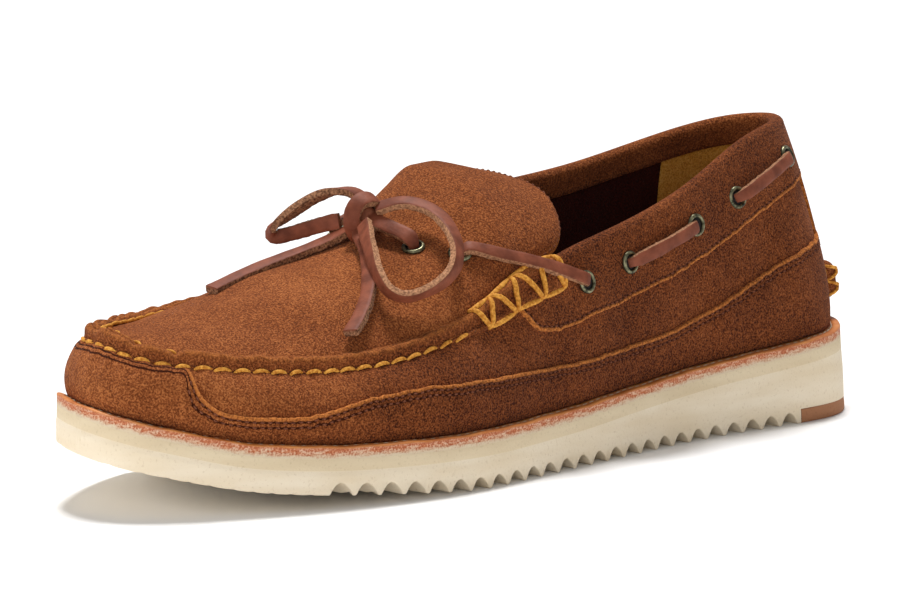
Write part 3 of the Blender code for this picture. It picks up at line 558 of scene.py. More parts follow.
    def side(self, outer):
        """Column numbers of one side, from the toe to the heel."""
        y = self.plan[:, 1]
        toe, heel = y.argmin(), y.argmax()
        if outer:
            return np.arange(toe, toe + (heel - toe) % self.count + 1) % self.count
        return np.arange(toe, toe - (toe - heel) % self.count - 1, -1) % self.count

    def spot(self, y, share, outer):
        """The (a, h) of the place on one side at this y and share of the height."""
        columns = self.side(outer)
        a = self.a[columns]
        h = self.height(a, np.full(len(a), share))
        places = np.maximum.accumulate(self.on(a, h)[0][:, 1])
        k = np.interp(y, places, np.arange(len(a)))
        found = np.interp(k, np.arange(len(a)), np.unwrap(a, period=self.long)) % self.long
        return found, float(self.height(np.array(found), np.array(share)))


def painted_shade_at(points):
    """Painted shade: darkness put into the suede's colour, 0 at the toe, rising to 1 along the outer side
    and 0.45 along the inner one, about half of that at the heel, and 0.35 more low down by the sole."""
    y, z = points[..., 1], points[..., 2]
    along = np.clip((y + 118) / 80, 0, 1) * (1 - 0.45 * np.clip((y - 95) / 40, 0, 1))
    low = np.clip((34 - z) / 20, 0, 1) * 0.35
    far = np.where(points[..., 0] < 0, 0.45, 1.0)
    return np.clip(along * along * (3 - 2 * along) * far + low, 0, 1.2)


wall = Wall(0.8)
print(f"the wall is {wall.long:.0f} mm round in {wall.count} columns, {wall.tall.min():.0f} to "
      f"{wall.tall.max():.0f} mm tall")

# %% [markdown]
# ## Cut panels
# The lower panel and the collar band are pieces of leather sewn on top of the wall, and their cut
# edges show all round. A plain grid with straight rows would leave such an edge ragged, so each
# panel is drawn from its edge: ribs start on the edge, at even steps, and run back to the sole or up
# to the collar, with closely set rows beside the cut to round it over and to press it down along
# the stitching.


# %% Panel helper
# The second number is painted shade: how dark each stitch row is painted, so the gaps between stitches look
# like needle holes.
SUNK, PAINTED_HOLE_SHADE = 0.70, 4.0  # share of the thickness left under a row of stitches, and its darkness
CUT_ROWS = [
    # distance from the cut, share of the panel's thickness, raw
    (0.0, -0.35, 1.0), (0.0, 0.10, 1.0), (0.0, 0.45, 1.0), (0.06, 0.75, 1.0), (0.2, 0.97, 1.0),
    (0.45, 1.12, 1.0), (0.8, 1.10, 0.8), (1.1, 0.97, 0.25), (1.45, 0.70, 0.0), (1.85, 0.92, 0.0),
    (2.2, 1.0, 0.0), (2.55, 0.94, 0.0), (2.95, 0.70, 0.0), (3.4, 0.96, 0.0), (5.5, 1.0, 0.0),
]


def cut_edge(a, h, spacing=0.85, closed=True):
    """An edge drawn in (a, h), rounded at its corners and read at even steps."""
    edge = evenly(np.column_stack([a, h]), spacing=0.4)
    if closed:
        flat = soften(edge[:-1, 0] - wall.long * np.arange(len(edge) - 1) / (len(edge) - 1), 9)
        a = flat + wall.long * np.arange(len(flat)) / len(flat)
        edge = np.column_stack([a, soften(edge[:-1, 1], 9)])
        edge = np.vstack([edge, [edge[0, 0] + wall.long, edge[0, 1]]])
    else:
        edge = np.column_stack([soften(edge[:, k], 9, False) for k in (0, 1)])
    return evenly(edge, spacing=spacing)[:-1 if closed else None]


def fray(edge, amount=0.16):
    """The edge moved up and down by a little seeded noise, as a hand-cut edge wavers: 0.6 of a place's own
    share and 0.4 of its two neighbours'."""
    moved = edge.copy()
    waver = chance.normal(0, amount, len(edge))
    moved[:, 1] += 0.6 * waver + 0.4 * (np.roll(waver, 1) + np.roll(waver, 2))
    if abs(edge[-1, 1] - edge[0, 1]) < 1e-6:
        moved[-1, 1] = moved[0, 1]
    return moved


def ribs(edge, goal, rows=CUT_ROWS, back=14, closed=True, spread=45):
    """Rows of (a, h) from an edge to the line h = goal(a). Each rib is straight. Its far end is the
    running mean of the edge's a, so that ribs fan round corners without crossing."""
    count = len(edge)
    if closed:
        slope = wall.long / count
        far = soften(edge[:, 0] - slope * np.arange(count), spread) + slope * np.arange(count)
        along = np.roll(edge, -1, axis=0) - np.roll(edge, 1, axis=0)
        along[[0, -1], 0] += wall.long
    else:
        far = np.clip(soften(edge[:, 0], spread, False), edge[0, 0], edge[-1, 0])
        along = np.gradient(edge, axis=0)
    ends = np.column_stack([far, goal(far)])
    rib = ends - edge
    run = np.linalg.norm(rib, axis=1)
    square = np.abs(along[:, 0] * rib[:, 1] - along[:, 1] * rib[:, 0])
    angle = square / np.linalg.norm(along, axis=1) / run
    near = np.array([row[0] for row in rows])
    shares = np.minimum(near[:, None] / (run * np.maximum(angle, 0.35)), 0.8 * (near / near[-1])[:, None])
    rest = shares[-1] + (1 - shares[-1]) * (np.arange(1, back + 1) / back)[:, None]
    shares = np.vstack([shares, rest])
    return edge[:, 0] + rib[:, 0] * shares, edge[:, 1] + rib[:, 1] * shares


def row_values(rows, back, column):
    """One column of a table of rows, its last value repeated for the back rows, as one value a row."""
    return np.concatenate([[row[column] for row in rows], np.full(back, rows[-1][column])])[:, None]


# %% [markdown]
# ## The wall, its lining and the lower panel
# The main wall is a belt of leather with a real thickness, closed over the foot inside by a darker
# lining. The lower panel covers the whole toe up to the seam and runs on round the shoe as a low
# band. Its cut edge is paler and a little fuzzy.

# %% Wall and lining
def belt(name, outside, inside_by, finish, node="upper", rows=18):
    """A closed belt of leather from the sole to the top line, between two depths."""
    up = np.linspace(0, 1, rows)
    down = np.linspace(1, 0, rows // 2)
    q = np.concatenate([up, down])[:, None]
    proud = np.concatenate([np.full(rows, outside), np.full(rows // 2, inside_by)])[:, None]
    a = np.broadcast_to(wall.a, (len(q), wall.count))
    points = wall.on(a, q * wall.between(wall.tall, a), proud)[0]
    faces = grid_faces(len(q), wall.count, True, True)
    # The "shade" mark is painted shade: the wall and its lining are darker along the sides than at the toe,
    # and low down by the sole.
    return make(name, points, faces, finish, "suede", node, shade=painted_shade_at(points))


belt("quarters", 0.0, -0.85, brown)
belt("lining", -1.0, -WALL, inside)

# %% Lower panel
PANEL = [
    # y,     share of the height
    (-150.0, 1.0),
    (-130.5, 1.0),
    (-128.3, 0.80),
    (-125.0, 0.52),
    (-120.5, 0.40),
    (-112.0, 0.372),
    (-99.0, 0.40),
    (-77.0, 0.62),
    (-62.0, 0.65),
    (-45.0, 0.57),
    (-17.0, 0.42),
    (-1.0, 0.33),
    (11.0, 0.29),
    (50.0, 0.26),
    (69.0, 0.29),
    (104.0, 0.39),
    (129.0, 0.44),
    (150.0, 0.47),
]
PANEL_BACK, BAND_BACK, FOOT_LINE = 14, 12, 0.2  # rows behind the cut, and the panel's lower line


def foot_line(a):
    """The line just above the sole, where the lower panel ends."""
    return 0 * a + FOOT_LINE


share = smooth(PANEL, wall.middle_y)[:, 0]
edge_high = wall.height(wall.a, share)
panel_edge = fray(cut_edge(np.append(wall.a, wall.long), np.append(edge_high, edge_high[0])))
a, h = ribs(panel_edge, foot_line, back=PANEL_BACK)
seam = np.clip((panel_edge[:, 1] / wall.between(wall.tall, panel_edge[:, 0]) - 0.90) / 0.08, 0, 1)
proud = STEP * row_values(CUT_ROWS, PANEL_BACK, 1) + 0 * a
dip = STEP * np.clip(row_values(CUT_ROWS, PANEL_BACK, 0) / 2.4, 0, 1) ** 0.5
proud = proud * (1 - seam) + (dip - 0.25) * seam
points, normals = wall.on(a, h, proud)
# Painted shade along the two rows of stitches, dark lines that show between the stitches as needle holes,
# over the painted shade of the sides.
painted_hole_shade = PAINTED_HOLE_SHADE * (row_values(CUT_ROWS, PANEL_BACK, 1) == SUNK)
make("lower_panel", points, grid_faces(*a.shape, close_columns=True), brown, "suede", wall=0.9,
     outward=normals, raw=row_values(CUT_ROWS, PANEL_BACK, 2) * (1 - seam), shade=painted_shade_at(points) + painted_hole_shade)

# %% [markdown]
# ## The rolled collar
# The collar is one strip of leather: its lower edge is cut raw and stitched down on the wall, and its
# upper edge is folded over a padded roll and tucked inside. It is drawn as one sheet, from the cut
# edge up the wall, over half an ellipse and down the inside.

# %% Collar band
BAND = [
    # y,     share of the height
    (-14.6, 1.0),
    (-13.2, 0.90),
    (-10.5, 0.755),
    (-6.0, 0.645),
    (0.0, 0.585),
    (8.0, 0.555),
    (25.0, 0.56),
    (50.0, 0.582),
    (69.0, 0.60),
    (86.0, 0.632),
    (104.0, 0.665),
    (129.0, 0.735),
    (150.0, 0.765),
]
BAND_ROWS = CUT_ROWS[:7] + [
    (1.0, 1.0, 0.3), (1.4, 0.70, 0.0), (1.8, 0.95, 0.0), (2.6, 1.03, 0.0), (4.0, 1.0, 0.0),
]
HEEL_A = wall.a[wall.plan[:, 1].argmax()]


def top_line(a):
    """The line at the wall's upper edge, where the band reaches the roll."""
    return wall.between(wall.tall, a)


covered = wall.middle_y > BAND[0][0]
edge_high = wall.height(wall.a[covered], smooth(BAND, wall.middle_y[covered])[:, 0])
band_edge = fray(cut_edge(wall.a[covered], edge_high, closed=False), 0.2)
a, h = ribs(band_edge, top_line, BAND_ROWS, back=BAND_BACK, closed=False)
proud = STEP * row_values(BAND_ROWS, BAND_BACK, 1) + 0 * a
points, normals = wall.on(a, h, proud)
rim_a = a[-1]
rim_y = wall.between(wall.top, rim_a)[:, 1]
size = np.clip((rim_y + 6) / 14, 0.25, 1.0)  # the roll thins out toward the tongue
turn = np.linspace(0.22, np.pi, 9)[:, None]
over = wall.rim(rim_a + 0 * turn, -STEP + (STEP + ROLL_WIDE) * size * (1 - np.cos(turn)) / 2,
                (ROLL_HIGH + 0.2) * size * np.sin(turn))
over_out = wall.between(wall.out, rim_a + 0 * turn) * np.cos(turn)[..., None] + UP * np.sin(turn)[..., None]
down = np.array([0.8, 2.0, 3.5, 5.2, 6.8, 7.4])[:, None]
depth = np.interp(down, [0, 2.0, 6.8, 7.4], [ROLL_WIDE, 3.4, 2.7, 1.7])
inner, inner_normal = wall.on(rim_a + 0 * down, top_line(rim_a) - down * size, -depth * size)
band = np.concatenate([points, over, inner])
plain_rows = np.zeros((len(over) + len(inner), len(rim_a)))
cut_raw = row_values(BAND_ROWS, BAND_BACK, 2) + 0 * a
# Painted shade over the band, darker along the sides and low down, with a dark line in the stitch row for the
# needle holes.
painted_hole_shade = PAINTED_HOLE_SHADE * (row_values(BAND_ROWS, BAND_BACK, 1) == SUNK) + 0 * a
make("collar_band", band, grid_faces(*band.shape[:2]), brown, "suede", wall=0.8,
     outward=np.concatenate([normals, over_out, -inner_normal]), raw=np.concatenate([cut_raw, plain_rows]),
     shade=painted_shade_at(band) + np.concatenate([painted_hole_shade, plain_rows]))

# %% [markdown]
# ## The raised moc seam
# On a moccasin the wall and the apron are pinched together, edge to edge, and sewn through. That
# leaves a standing ridge with two cut edges on top, gathered a little by every stitch. It is a
# profile carried round the toe: an outer face, two soft lips with a groove between, an inner face.
# Toward the collar the ridge grows taller and laps down over the wall, where it is cross-stitched.

# %% Ridge sizes
RIDGE = [
    # y,     high, drop, cross
    (-150.0, 4.3, 0.0, 0.0),
    (-100.0, 4.5, 0.0, 0.0),
    (-60.0, 4.6, 0.0, 0.0),
    (-44.0, 4.8, 0.3, 0.1),
    (-31.0, 4.9, 1.5, 0.6),
    (-22.7, 5.3, 2.3, 1.0),
    (-13.0, 6.3, 2.8, 1.0),
    (-6.0, 5.6, 4.4, 1.0),
    (0.0, 4.2, 5.7, 1.0),
    (5.0, 2.9, 6.5, 1.0),
    (9.0, 2.0, 6.9, 1.0),
]
ENDS = [wall.spot(8.0, 1.0, outer)[0] for outer in (False, True)]


def ridge_at(a):
    """Height of the ridge, how far it laps down the wall and how far it is in the cross-stitched
    stretch, from the y of the top line at a."""
    return smooth(RIDGE, wall.between(wall.top, a)[..., 1].ravel()).T.reshape(3, *np.shape(a))


NOTCH_PLACES = [(-137.4, True), (-128.6, True), (-96.0, True), (-134.0, False), (-112.0, False)]  # y, outer
NOTCHES = np.array([wall.spot(y, 1.0, outer)[0] - (0 if outer else wall.long) for y, outer in NOTCH_PLACES])


def pucker(a, toe_only=False):
    """Gathers of the ridge: a small wave at the stitch pitch, slower uneven ones, most at the toe, and a
    sharp dip at each notch. With toe_only, the slower waves by themselves."""
    near = np.mod(a + wall.long / 2, wall.long) - wall.long / 2
    toe = np.exp(-((near + 6) / 62) ** 4)
    slow = (np.sin(2 * np.pi * near / 17.3 + 0.6) + np.sin(2 * np.pi * near / 11.1 + 2.0)
            + 0.7 * np.sin(2 * np.pi * near / 28.7))
    notches = -0.9 * np.exp(-((near[..., None] - NOTCHES) / 0.9) ** 2).sum(axis=-1)
    quick = 0 if toe_only else 0.13 * np.cos(2 * np.pi * near / PITCH) + notches
    return quick + (0.09 + 0.24 * toe) * slow


LIPS = [
    # inwards, upwards (share of the height), raw, pinched by the stitches
    (-0.05, 0.18, 0.0, 1.0), (0.0, 0.42, 0.0, 0.5), (0.05, 0.66, 0.15, 0.2), (0.22, 0.82, 0.55, 0.0),
    (0.55, 0.93, 1.0, 0.0), (1.05, 0.99, 1.0, 0.0), (1.6, 1.0, 0.9, 0.0), (2.1, 0.95, 0.5, 0.0),
    (2.45, 0.82, 0.2, 0.0), (2.8, 0.94, 0.5, 0.0), (3.3, 0.99, 0.9, 0.0), (3.9, 0.96, 1.0, 0.0),
    (4.45, 0.86, 0.8, 0.0), (4.85, 0.68, 0.3, 0.3), (5.0, 0.45, 0.0, 0.8), (4.9, 0.15, 0.0, 1.0),
    (4.2, -0.25, 0.0, 0.0), (2.4, -0.45, 0.0, 0.0),
]
FOOT_ROWS = [
    # below the foot line, proud of the wall, raw
    (0.5, -0.6, 0.0), (0.12, 0.15, 0.1), (-0.35, 0.50, 0.45), (-0.9, 0.62, 0.25),
]
COLUMN, POINTED = 0.55, 4.0  # width of a column, and how far from its ends the ridge starts to close


# %% Moc seam
def moc_seam():
    """Rows of the profile by columns round the toe. The two ends close in a point under the collar."""
    first, last = ENDS[0] - wall.long, ENDS[1]
    count = round((last - first) / COLUMN)
    a = np.linspace(first, last, count)
    high, drop, cross = ridge_at(a)
    end = np.sqrt(np.clip(np.minimum(a - first, last - a) / POINTED, 0, 1))
    close = end * (2 - end)
    gather = pucker(a)
    tall = wall.between(wall.tall, a)
    pinch = 0.22 * (1 + np.cos(2 * np.pi * (a / PITCH)))
    rows, marks = [], []
    for depth, proud, raw in FOOT_ROWS:
        lift = cross * (0.75 + 0.35 * close) if proud > 0 else cross * 0.4
        rows.append(wall.on(a, tall - drop - depth, (proud + lift) * close - pinch * (proud > 0.2) * 0.5)[0])
        marks.append(np.full(count, raw) * (0.25 + 0.75 * cross))
    mid, _ = wall.on(a, tall - drop * 0.45, (0.5 + cross * 0.75) * close)
    rows.append(mid)
    marks.append(np.zeros(count))
    for inwards, upwards, raw, pull in LIPS:
        squeeze = pull * pinch * (1 if inwards < 2 else -1) * (1 - cross)
        u = inwards - 0.55 * cross * np.exp(-inwards / 1.2) + squeeze
        w = high * upwards * close + gather * max(upwards, 0)
        lean = 0.35 * pucker(a + 4.0, True) * max(upwards, 0)
        rows.append(wall.rim(a, 2.5 + (u + lean - 2.5) * close, w))
        marks.append(np.full(count, raw) * (0.8 + 0.2 * np.sin(a)))
    points = np.stack(rows)
    first_ring = np.arange(len(rows)) * count
    caps = np.vstack([fan_faces(first_ring, points[..., 0].size),
                      fan_faces(first_ring + count - 1, points[..., 0].size + 1)[:, ::-1]])
    points = np.vstack([points.reshape(-1, 3), points[:, [0, -1]].mean(axis=0)])
    raw = np.concatenate([np.stack(marks).ravel(), [0, 0]])
    # The ridge carries painted shade: 0.45 everywhere and more along the sides, so it reads darker than the
    # plain suede.
    return make("moc_seam", points, grid_faces(len(rows), count, True), brown, "suede", triangles=caps,
                raw=raw * 0.55, shade=0.45 + 0.35 * painted_shade_at(points))


moc_seam()

# %% [markdown]
# ## Apron and tongue
# The apron fills the moc seam and runs on, free of it, as the tongue. It is one curved slab: an arch
# across, a crest line along, the real thickness of the leather, and a pale cut edge where it is free.

# %% Apron shape
APRON_CREST = [
    # y,     x,     z,    power
    (-142.0, -4.0, 49.4, 2.0),
    (-128.0, -6.0, 51.2, 2.0),
    (-112.0, -7.0, 53.2, 1.9),
    (-93.0, -9.0, 56.8, 1.8),
    (-77.0, -9.0, 60.8, 1.6),
    (-53.0, -9.0, 66.0, 1.3),
    (-35.0, -9.0, 71.2, 1.0),
    (-20.0, -11.0, 79.6, 1.0),
    (-11.0, -14.0, 85.6, 1.0),
    (-4.0, -17.0, 89.4, 1.0),
    (5.0, -18.0, 89.6, 1.0),
    (14.0, -17.0, 87.2, 1.0),
    (21.0, -12.0, 85.0, 1.0),
]
JOINED_TO_Y = -10.0
TONGUE_EDGES = [
    # y,   out_x, out_z, in_x,  in_z
    (-4.0, 32.4, 60.2, -27.4, 73.5),
    (3.0, 31.8, 62.0, -26.0, 80.0),
    (9.5, 31.0, 64.2, -24.8, 84.0),
    (14.2, 29.0, 67.8, -23.6, 85.4),
    (17.2, 25.6, 72.2, -21.6, 85.6),
    (19.2, 20.2, 77.2, -18.0, 85.4),
    (20.2, 13.5, 80.6, -15.0, 85.2),
]


def seam_lines(y):
    """x and z of the apron's outer and inner edge, inside the moc seam, at each y."""
    found = []
    for outer in (True, False):
        columns = wall.side(outer)
        line = wall.top[columns] - wall.out[columns] * APRON_EMBED + UP * APRON_RISE
        run = np.maximum.accumulate(line[:, 1])
        found += [np.interp(y, run, line[:, 0]), np.interp(y, run, line[:, 2])]
    return found


JOINT = [JOINED_TO_Y, *(float(v) for v in seam_lines(JOINED_TO_Y))]


def apron_at(y, share):
    """share 1 is the outer edge, 0 the crest and -1 the inner edge; across, the height follows the
    cosine of the way from the crest, raised to a power that flattens the arch toward the toe."""
    y, share = np.broadcast_arrays(np.asarray(y, float), np.asarray(share, float))
    flat = y.ravel()
    joined = np.array(seam_lines(np.minimum(flat, JOINED_TO_Y))).T
    free = smooth([JOINT, *TONGUE_EDGES], flat)
    edge = np.where((flat > JOINED_TO_Y)[:, None], free, joined)
    crest_x, crest_z, power = smooth(APRON_CREST, flat).T
    s = share.ravel()
    x_edge, z_edge = np.where(s > 0, edge[:, 0], edge[:, 2]), np.where(s > 0, edge[:, 1], edge[:, 3])
    angle = np.abs(s) * np.pi / 2
    x = crest_x + (x_edge - crest_x) * np.sin(angle)
    z = z_edge + (crest_z - z_edge) * np.maximum(np.cos(angle), 0) ** power
    z = z + apron_waves(x, flat) * np.clip(1.6 - 1.6 * np.abs(s) ** 3, 0, 1)
    return np.stack([x, flat, z], axis=-1).reshape(*y.shape, 3)


def apron_waves(x, y):
    """Soft creases of worn leather: shallow troughs across the instep, finer toward the lace."""
    band = np.exp(-((y + 58) / 30) ** 2)
    return (0.35 * np.sin((y + 0.35 * x) / 6.5) * band + 0.22 * np.sin(y / 9.0 + x / 7.0)
            + 0.18 * np.sin(y / 5.1 - x / 4.3 + 1.0))


def apron_normal(y, share):
    """Cross product of the small steps across and along."""
    across = apron_at(y, np.asarray(share) + 0.02) - apron_at(y, np.asarray(share) - 0.02)
    along = apron_at(np.asarray(y) + 0.5, share) - apron_at(np.asarray(y) - 0.5, share)
    return unit(np.cross(across, along))


# %% Slab helper
def slab(name, outside, normal, thick, finish, slot, bulge=0.3, node="upper"):
    """A flap of leather of even thickness: the outside grid, the same grid pushed in along its normals,
    and cut edges between them on all four sides, rounded by bulge."""
    rows, columns = outside.shape[:2]
    inside = outside - normal * thick
    side = unit(np.gradient(outside, axis=1))
    ahead = unit(np.gradient(outside, axis=0))

    def ring(row, out, inn, shift):
        """One row of the flap as a closed ring: out, over the edge, back along inn, over the other."""
        right, left = side[row, -1] * bulge, -side[row, 0] * bulge
        edges = [out[-1] * (1 - k) + inn[-1] * k + right for k in (0.3, 0.7)]
        back = [inn[0] * (1 - k) + out[0] * k + left for k in (0.3, 0.7)]
        return np.vstack([out, edges, inn[::-1], back]) + shift

    rings = [ring(i, outside[i], inside[i], 0) for i in range(rows)]
    for i, sign in ((0, -1), (rows - 1, 1)):
        pinch = outside[i] * 0.65 + inside[i] * 0.35, outside[i] * 0.35 + inside[i] * 0.65
        cap = ring(i, *pinch, ahead[i].mean(axis=0) * bulge * sign)
        rings.insert(0, cap) if sign < 0 else rings.append(cap)
    around = 2 * columns + 4
    points = np.stack(rings)
    faces = [grid_faces(rows + 2, around, False, True)]
    j = np.arange(columns - 1)
    ladder = np.vstack([np.column_stack([j, j + 1, 2 * columns - j, 2 * columns + 1 - j]),
                        [[columns - 1, columns, columns + 1, columns + 2],
                         [0, 2 * columns + 1, 2 * columns + 2, 2 * columns + 3]]])
    faces += [ladder[:, ::-1], ladder + (rows + 1) * around]
    near = np.minimum(lengths(outside[rows // 2])[None], lengths(outside[rows // 2])[-1])
    fade = np.clip(1 - np.minimum(near, near[:, ::-1]) / 0.9, 0, 1) + np.zeros((rows, 1))
    fade[-2:] = [[0.5], [1.0]]
    raw = np.ones((rows + 2, around))
    raw[1:-1, :columns] = fade
    raw[1:-1, columns + 2:2 * columns + 2] = fade[:, ::-1]
    # Painted shade: the apron darkens from y = -60 back to the tongue.
    shade = np.broadcast_to(0.35 * np.clip((points[..., 1] + 60) / 60, 0, 1), raw.shape)
    return make(name, points, np.vstack(faces), finish, slot, node, raw=raw, shade=shade)


# %% Apron and tongue
front = wall.top[:, 1].min() + APRON_EMBED + 0.1
rows_y = np.concatenate([front + 22 * (1 - np.cos(np.linspace(0.1, np.pi / 2, 20))),
                         np.linspace(front + 22, 12, 120)[1:], np.linspace(12, 20.2, 24)[1:]])
across = np.sin(np.linspace(-1, 1, 76) * 1.35) / np.sin(1.35)
grid = apron_at(rows_y[:, None], across[None, :])
grid_normal = unit(np.cross(np.gradient(grid, axis=1), np.gradient(grid, axis=0)))
slab("apron_and_tongue", grid, grid_normal, APRON_THICK, brown, "suede")

# %% [markdown]
# ## Threads
# Two threads hold the upper together: a heavy golden one, waxed and twisted of three plies, in the
# moc seam and at the heel, and a fine brown one along every cut edge. One builder makes them all: a
# round tube carried along each stitch's own short path, with three lobes that turn as it goes. The
# heavy stitches get more sides, the hundreds of fine ones only a few.


# %% Stitch builder
def stitches(name, paths, up, radius, finish, sides=10, twist=1.6, taper=0.55, node=None):
    """paths: (n, k, 3) places along n stitches; up: the direction away from the leather for each. The
    radius is 3 lobes, 0.88 + 0.2 |cos 1.5 (angle - twist x run)|, or even with fewer than 8 sides, and
    shrinks toward the ends as a power, taper, of a sine."""
    paths = np.asarray(paths, float)
    n, k = paths.shape[:2]
    along = unit(np.gradient(paths, axis=1))
    up = np.broadcast_to(np.asarray(up, float).reshape(n, -1, 3), paths.shape)
    side = unit(np.cross(along, up))
    up = np.cross(side, along)
    run = np.cumsum(np.linalg.norm(np.diff(paths, axis=1, prepend=paths[:, :1]), axis=2), axis=1)
    angle = 2 * np.pi * np.arange(sides) / sides
    lobes = 0.88 + 0.2 * np.abs(np.cos(1.5 * (angle - twist * run[..., None])))
    if sides < 8:
        lobes = np.ones_like(lobes)
    ends = np.sin(np.pi * np.linspace(0.12, 0.88, k)) ** taper
    r = (radius * ends)[None, :, None, None] * lobes[..., None]
    round_it = side[:, :, None] * np.cos(angle)[:, None] + up[:, :, None] * np.sin(angle)[:, None]
    points = paths[:, :, None] + r * round_it
    one = np.arange(n)[:, None, None] * (k * sides + 2)
    quads = (grid_faces(k, sides, False, True)[None] + one).reshape(-1, 4)
    ring = np.arange(sides)
    fans = np.vstack([fan_faces(ring, k * sides)[:, ::-1],
                      fan_faces((k - 1) * sides + ring, k * sides + 1)])
    triangles = (fans[None] + one).reshape(-1, 3)
    tips = np.stack([paths[:, 0], paths[:, -1]], axis=1)
    points = np.concatenate([points.reshape(n, -1, 3), tips], axis=1)
    return make(name, points, quads, finish, "suede", node, triangles=triangles)


def arcs(start, end, up, rise, sink, steps=13):
    """Stitches as arcs: they come up out of the leather at start, lie along it and dive at end. The
    height is (rise + sink) sin^0.42 less sink."""
    t = np.linspace(0, 1, steps)[None, :, None]
    flat = start[:, None] * (1 - t) + end[:, None] * t
    lift = (rise + sink) * np.abs(np.sin(np.pi * t)) ** 0.42 - sink
    return flat + up[:, None] * lift


# %% Moc stitches
STITCH, LAST_Y = 5.7, -31.0  # length of a stitch, and the y where the cross-stitches take over
outer_end, inner_end = (wall.spot(LAST_Y, 1.0, outer)[0] for outer in (True, False))
count = int((outer_end - (inner_end - wall.long)) / PITCH)
begin = inner_end - wall.long + PITCH * np.arange(count)
wobble = chance.normal(0, 0.12, (4, count))
tall = wall.between(wall.tall, begin)
drop = ridge_at(begin)[1]
end_tall = wall.between(wall.tall, begin + STITCH)
start, up = wall.on(begin + wobble[0] * 2, tall - drop - 0.45 + wobble[1], 0.0)
end, _ = wall.on(begin + STITCH + wobble[2] * 2, end_tall - drop + 0.15 + wobble[3], 0.0)
stitches("moc_stitches_outer", arcs(start, end, up, rise=0.75, sink=0.9), up, 0.62, gold)
high, later = ridge_at(begin)[0], begin + 1.6
start = wall.rim(later, 5.25 + wobble[0], 0.62 * high + wobble[1])
end = wall.rim(later + STITCH, 5.05 + wobble[2], 0.74 * high + wobble[3])
inward = unit(-wall.between(wall.out, begin) * 0.8 + UP * 0.6)
stitches("moc_stitches_inner", arcs(start, end, inward, rise=0.45, sink=0.9), inward, 0.58, gold)

# %% [markdown]
# ## Cross-stitches
# Beside the tongue the seam is closed with long strands laced over it: along the foot, along the top,
# and slanting between the two, so that every hole at the foot takes two strands.

# %% Cross-stitched stretch
FOOT_Y = [-26.5, -15.0, -3.3, 6.5]
HEAD_Y = [-31.0, -22.7, -13.0, -1.5, 5.0]


def ridge_face(a, s):
    """A place on the ridge's outer face: s is 0 at the foot line and 1 in the groove between the lips.
    Eight places up the profile, clear of the leather, are joined by straight steps."""
    high, drop, cross = ridge_at(a)
    foot = wall.between(wall.tall, a) - drop
    lapped = [wall.on(a, foot - 0.5, 0.35 + 0.6 * cross), wall.on(a, foot, 1.1 + 0.9 * cross),
              wall.on(a, foot + drop * 0.55, 1.35 + 0.9 * cross)]
    standing = [(-1.15, 0.36), (-0.9, 0.66), (-0.1, 0.95), (1.3, 1.06), (2.5, 0.9)]
    profile = np.stack([place for place, _ in lapped]
                       + [wall.rim(a, inwards, up * high + 0.35) for inwards, up in standing])
    at = np.clip(s, 0, 1) * (len(profile) - 1)
    i = np.minimum(at.astype(int), len(profile) - 2)
    t = (at - i)[:, None]
    k = np.arange(len(a))
    return profile[i, k] * (1 - t) + profile[i + 1, k] * t


def soften_path(path):
    """Each inner place moved to the mean of itself and its neighbours, three times."""
    for _ in range(3):
        path = np.vstack([path[:1], (path[:-2] + path[1:-1] + path[2:]) / 3, path[-1:]])
    return path


def strand(start, end, outer, count=17):
    """A strand from one (y, s) to another over the ridge, in even steps of a and s, its ends sunk."""
    ends = np.unwrap([wall.spot(y, 1.0, outer)[0] for y in (start[0], end[0])], period=wall.long)
    t = np.linspace(0, 1, count)
    a = ends[0] + (ends[1] - ends[0]) * t
    path = soften_path(ridge_face(a, start[1] + (end[1] - start[1]) * t))
    out = unit(wall.between(wall.out, a) + UP * (0.25 + 0.5 * t)[:, None])
    sink = 0.9 * (1 - np.abs(np.sin(np.pi * t)) ** 0.35)
    return path - out * sink[:, None], out


strands, ups = [], []
feet, heads = [(y, 0.02) for y in FOOT_Y], [(y, 0.93) for y in HEAD_Y]
pairs = [*zip(heads, feet), *zip(heads[1:], feet), *zip(feet, feet[1:]), *zip(heads, heads[1:])]
for outer in (True, False):
    for start, end in pairs:
        path, up = strand(start, end, outer)
        strands.append(path)
        ups.append(up)
stitches("cross_stitches", np.array(strands), np.array(ups), 0.85, gold)

# %% [markdown]
# ## Fine stitching along the cut edges
# Every cut edge is held down by a fine brown thread: two rows along the lower panel, one along the
# collar band and one round the tongue. The rows lie where the ribs of the panels were pressed down, so
# each stitch sits in its own groove; in the gap after it, painted shade stands for the needle hole.


# %% Fine stitches
FINE_PITCH, FINE_LONG, FINE_RADIUS, FINE_PLACES = 2.3, 1.35, 0.30, 5
PANEL_SEWN, BAND_SEWN = (8, 12), 8  # the rows behind the cut that the needle pressed down


def fine_row(a, h, proud):
    """Short stitches at even steps along a line drawn in (a, h)."""
    line = np.column_stack([a, h])
    run = lengths(line)
    at = np.arange(0.5, run[-1] - FINE_PITCH, FINE_PITCH)
    (p, up), (q, _) = (wall.on(np.interp(at + shift, run, line[:, 0]), np.interp(at + shift, run, line[:, 1]),
                               proud) for shift in (0, FINE_LONG))
    return arcs(p, q, up, rise=0.16, sink=0.35, steps=FINE_PLACES), up


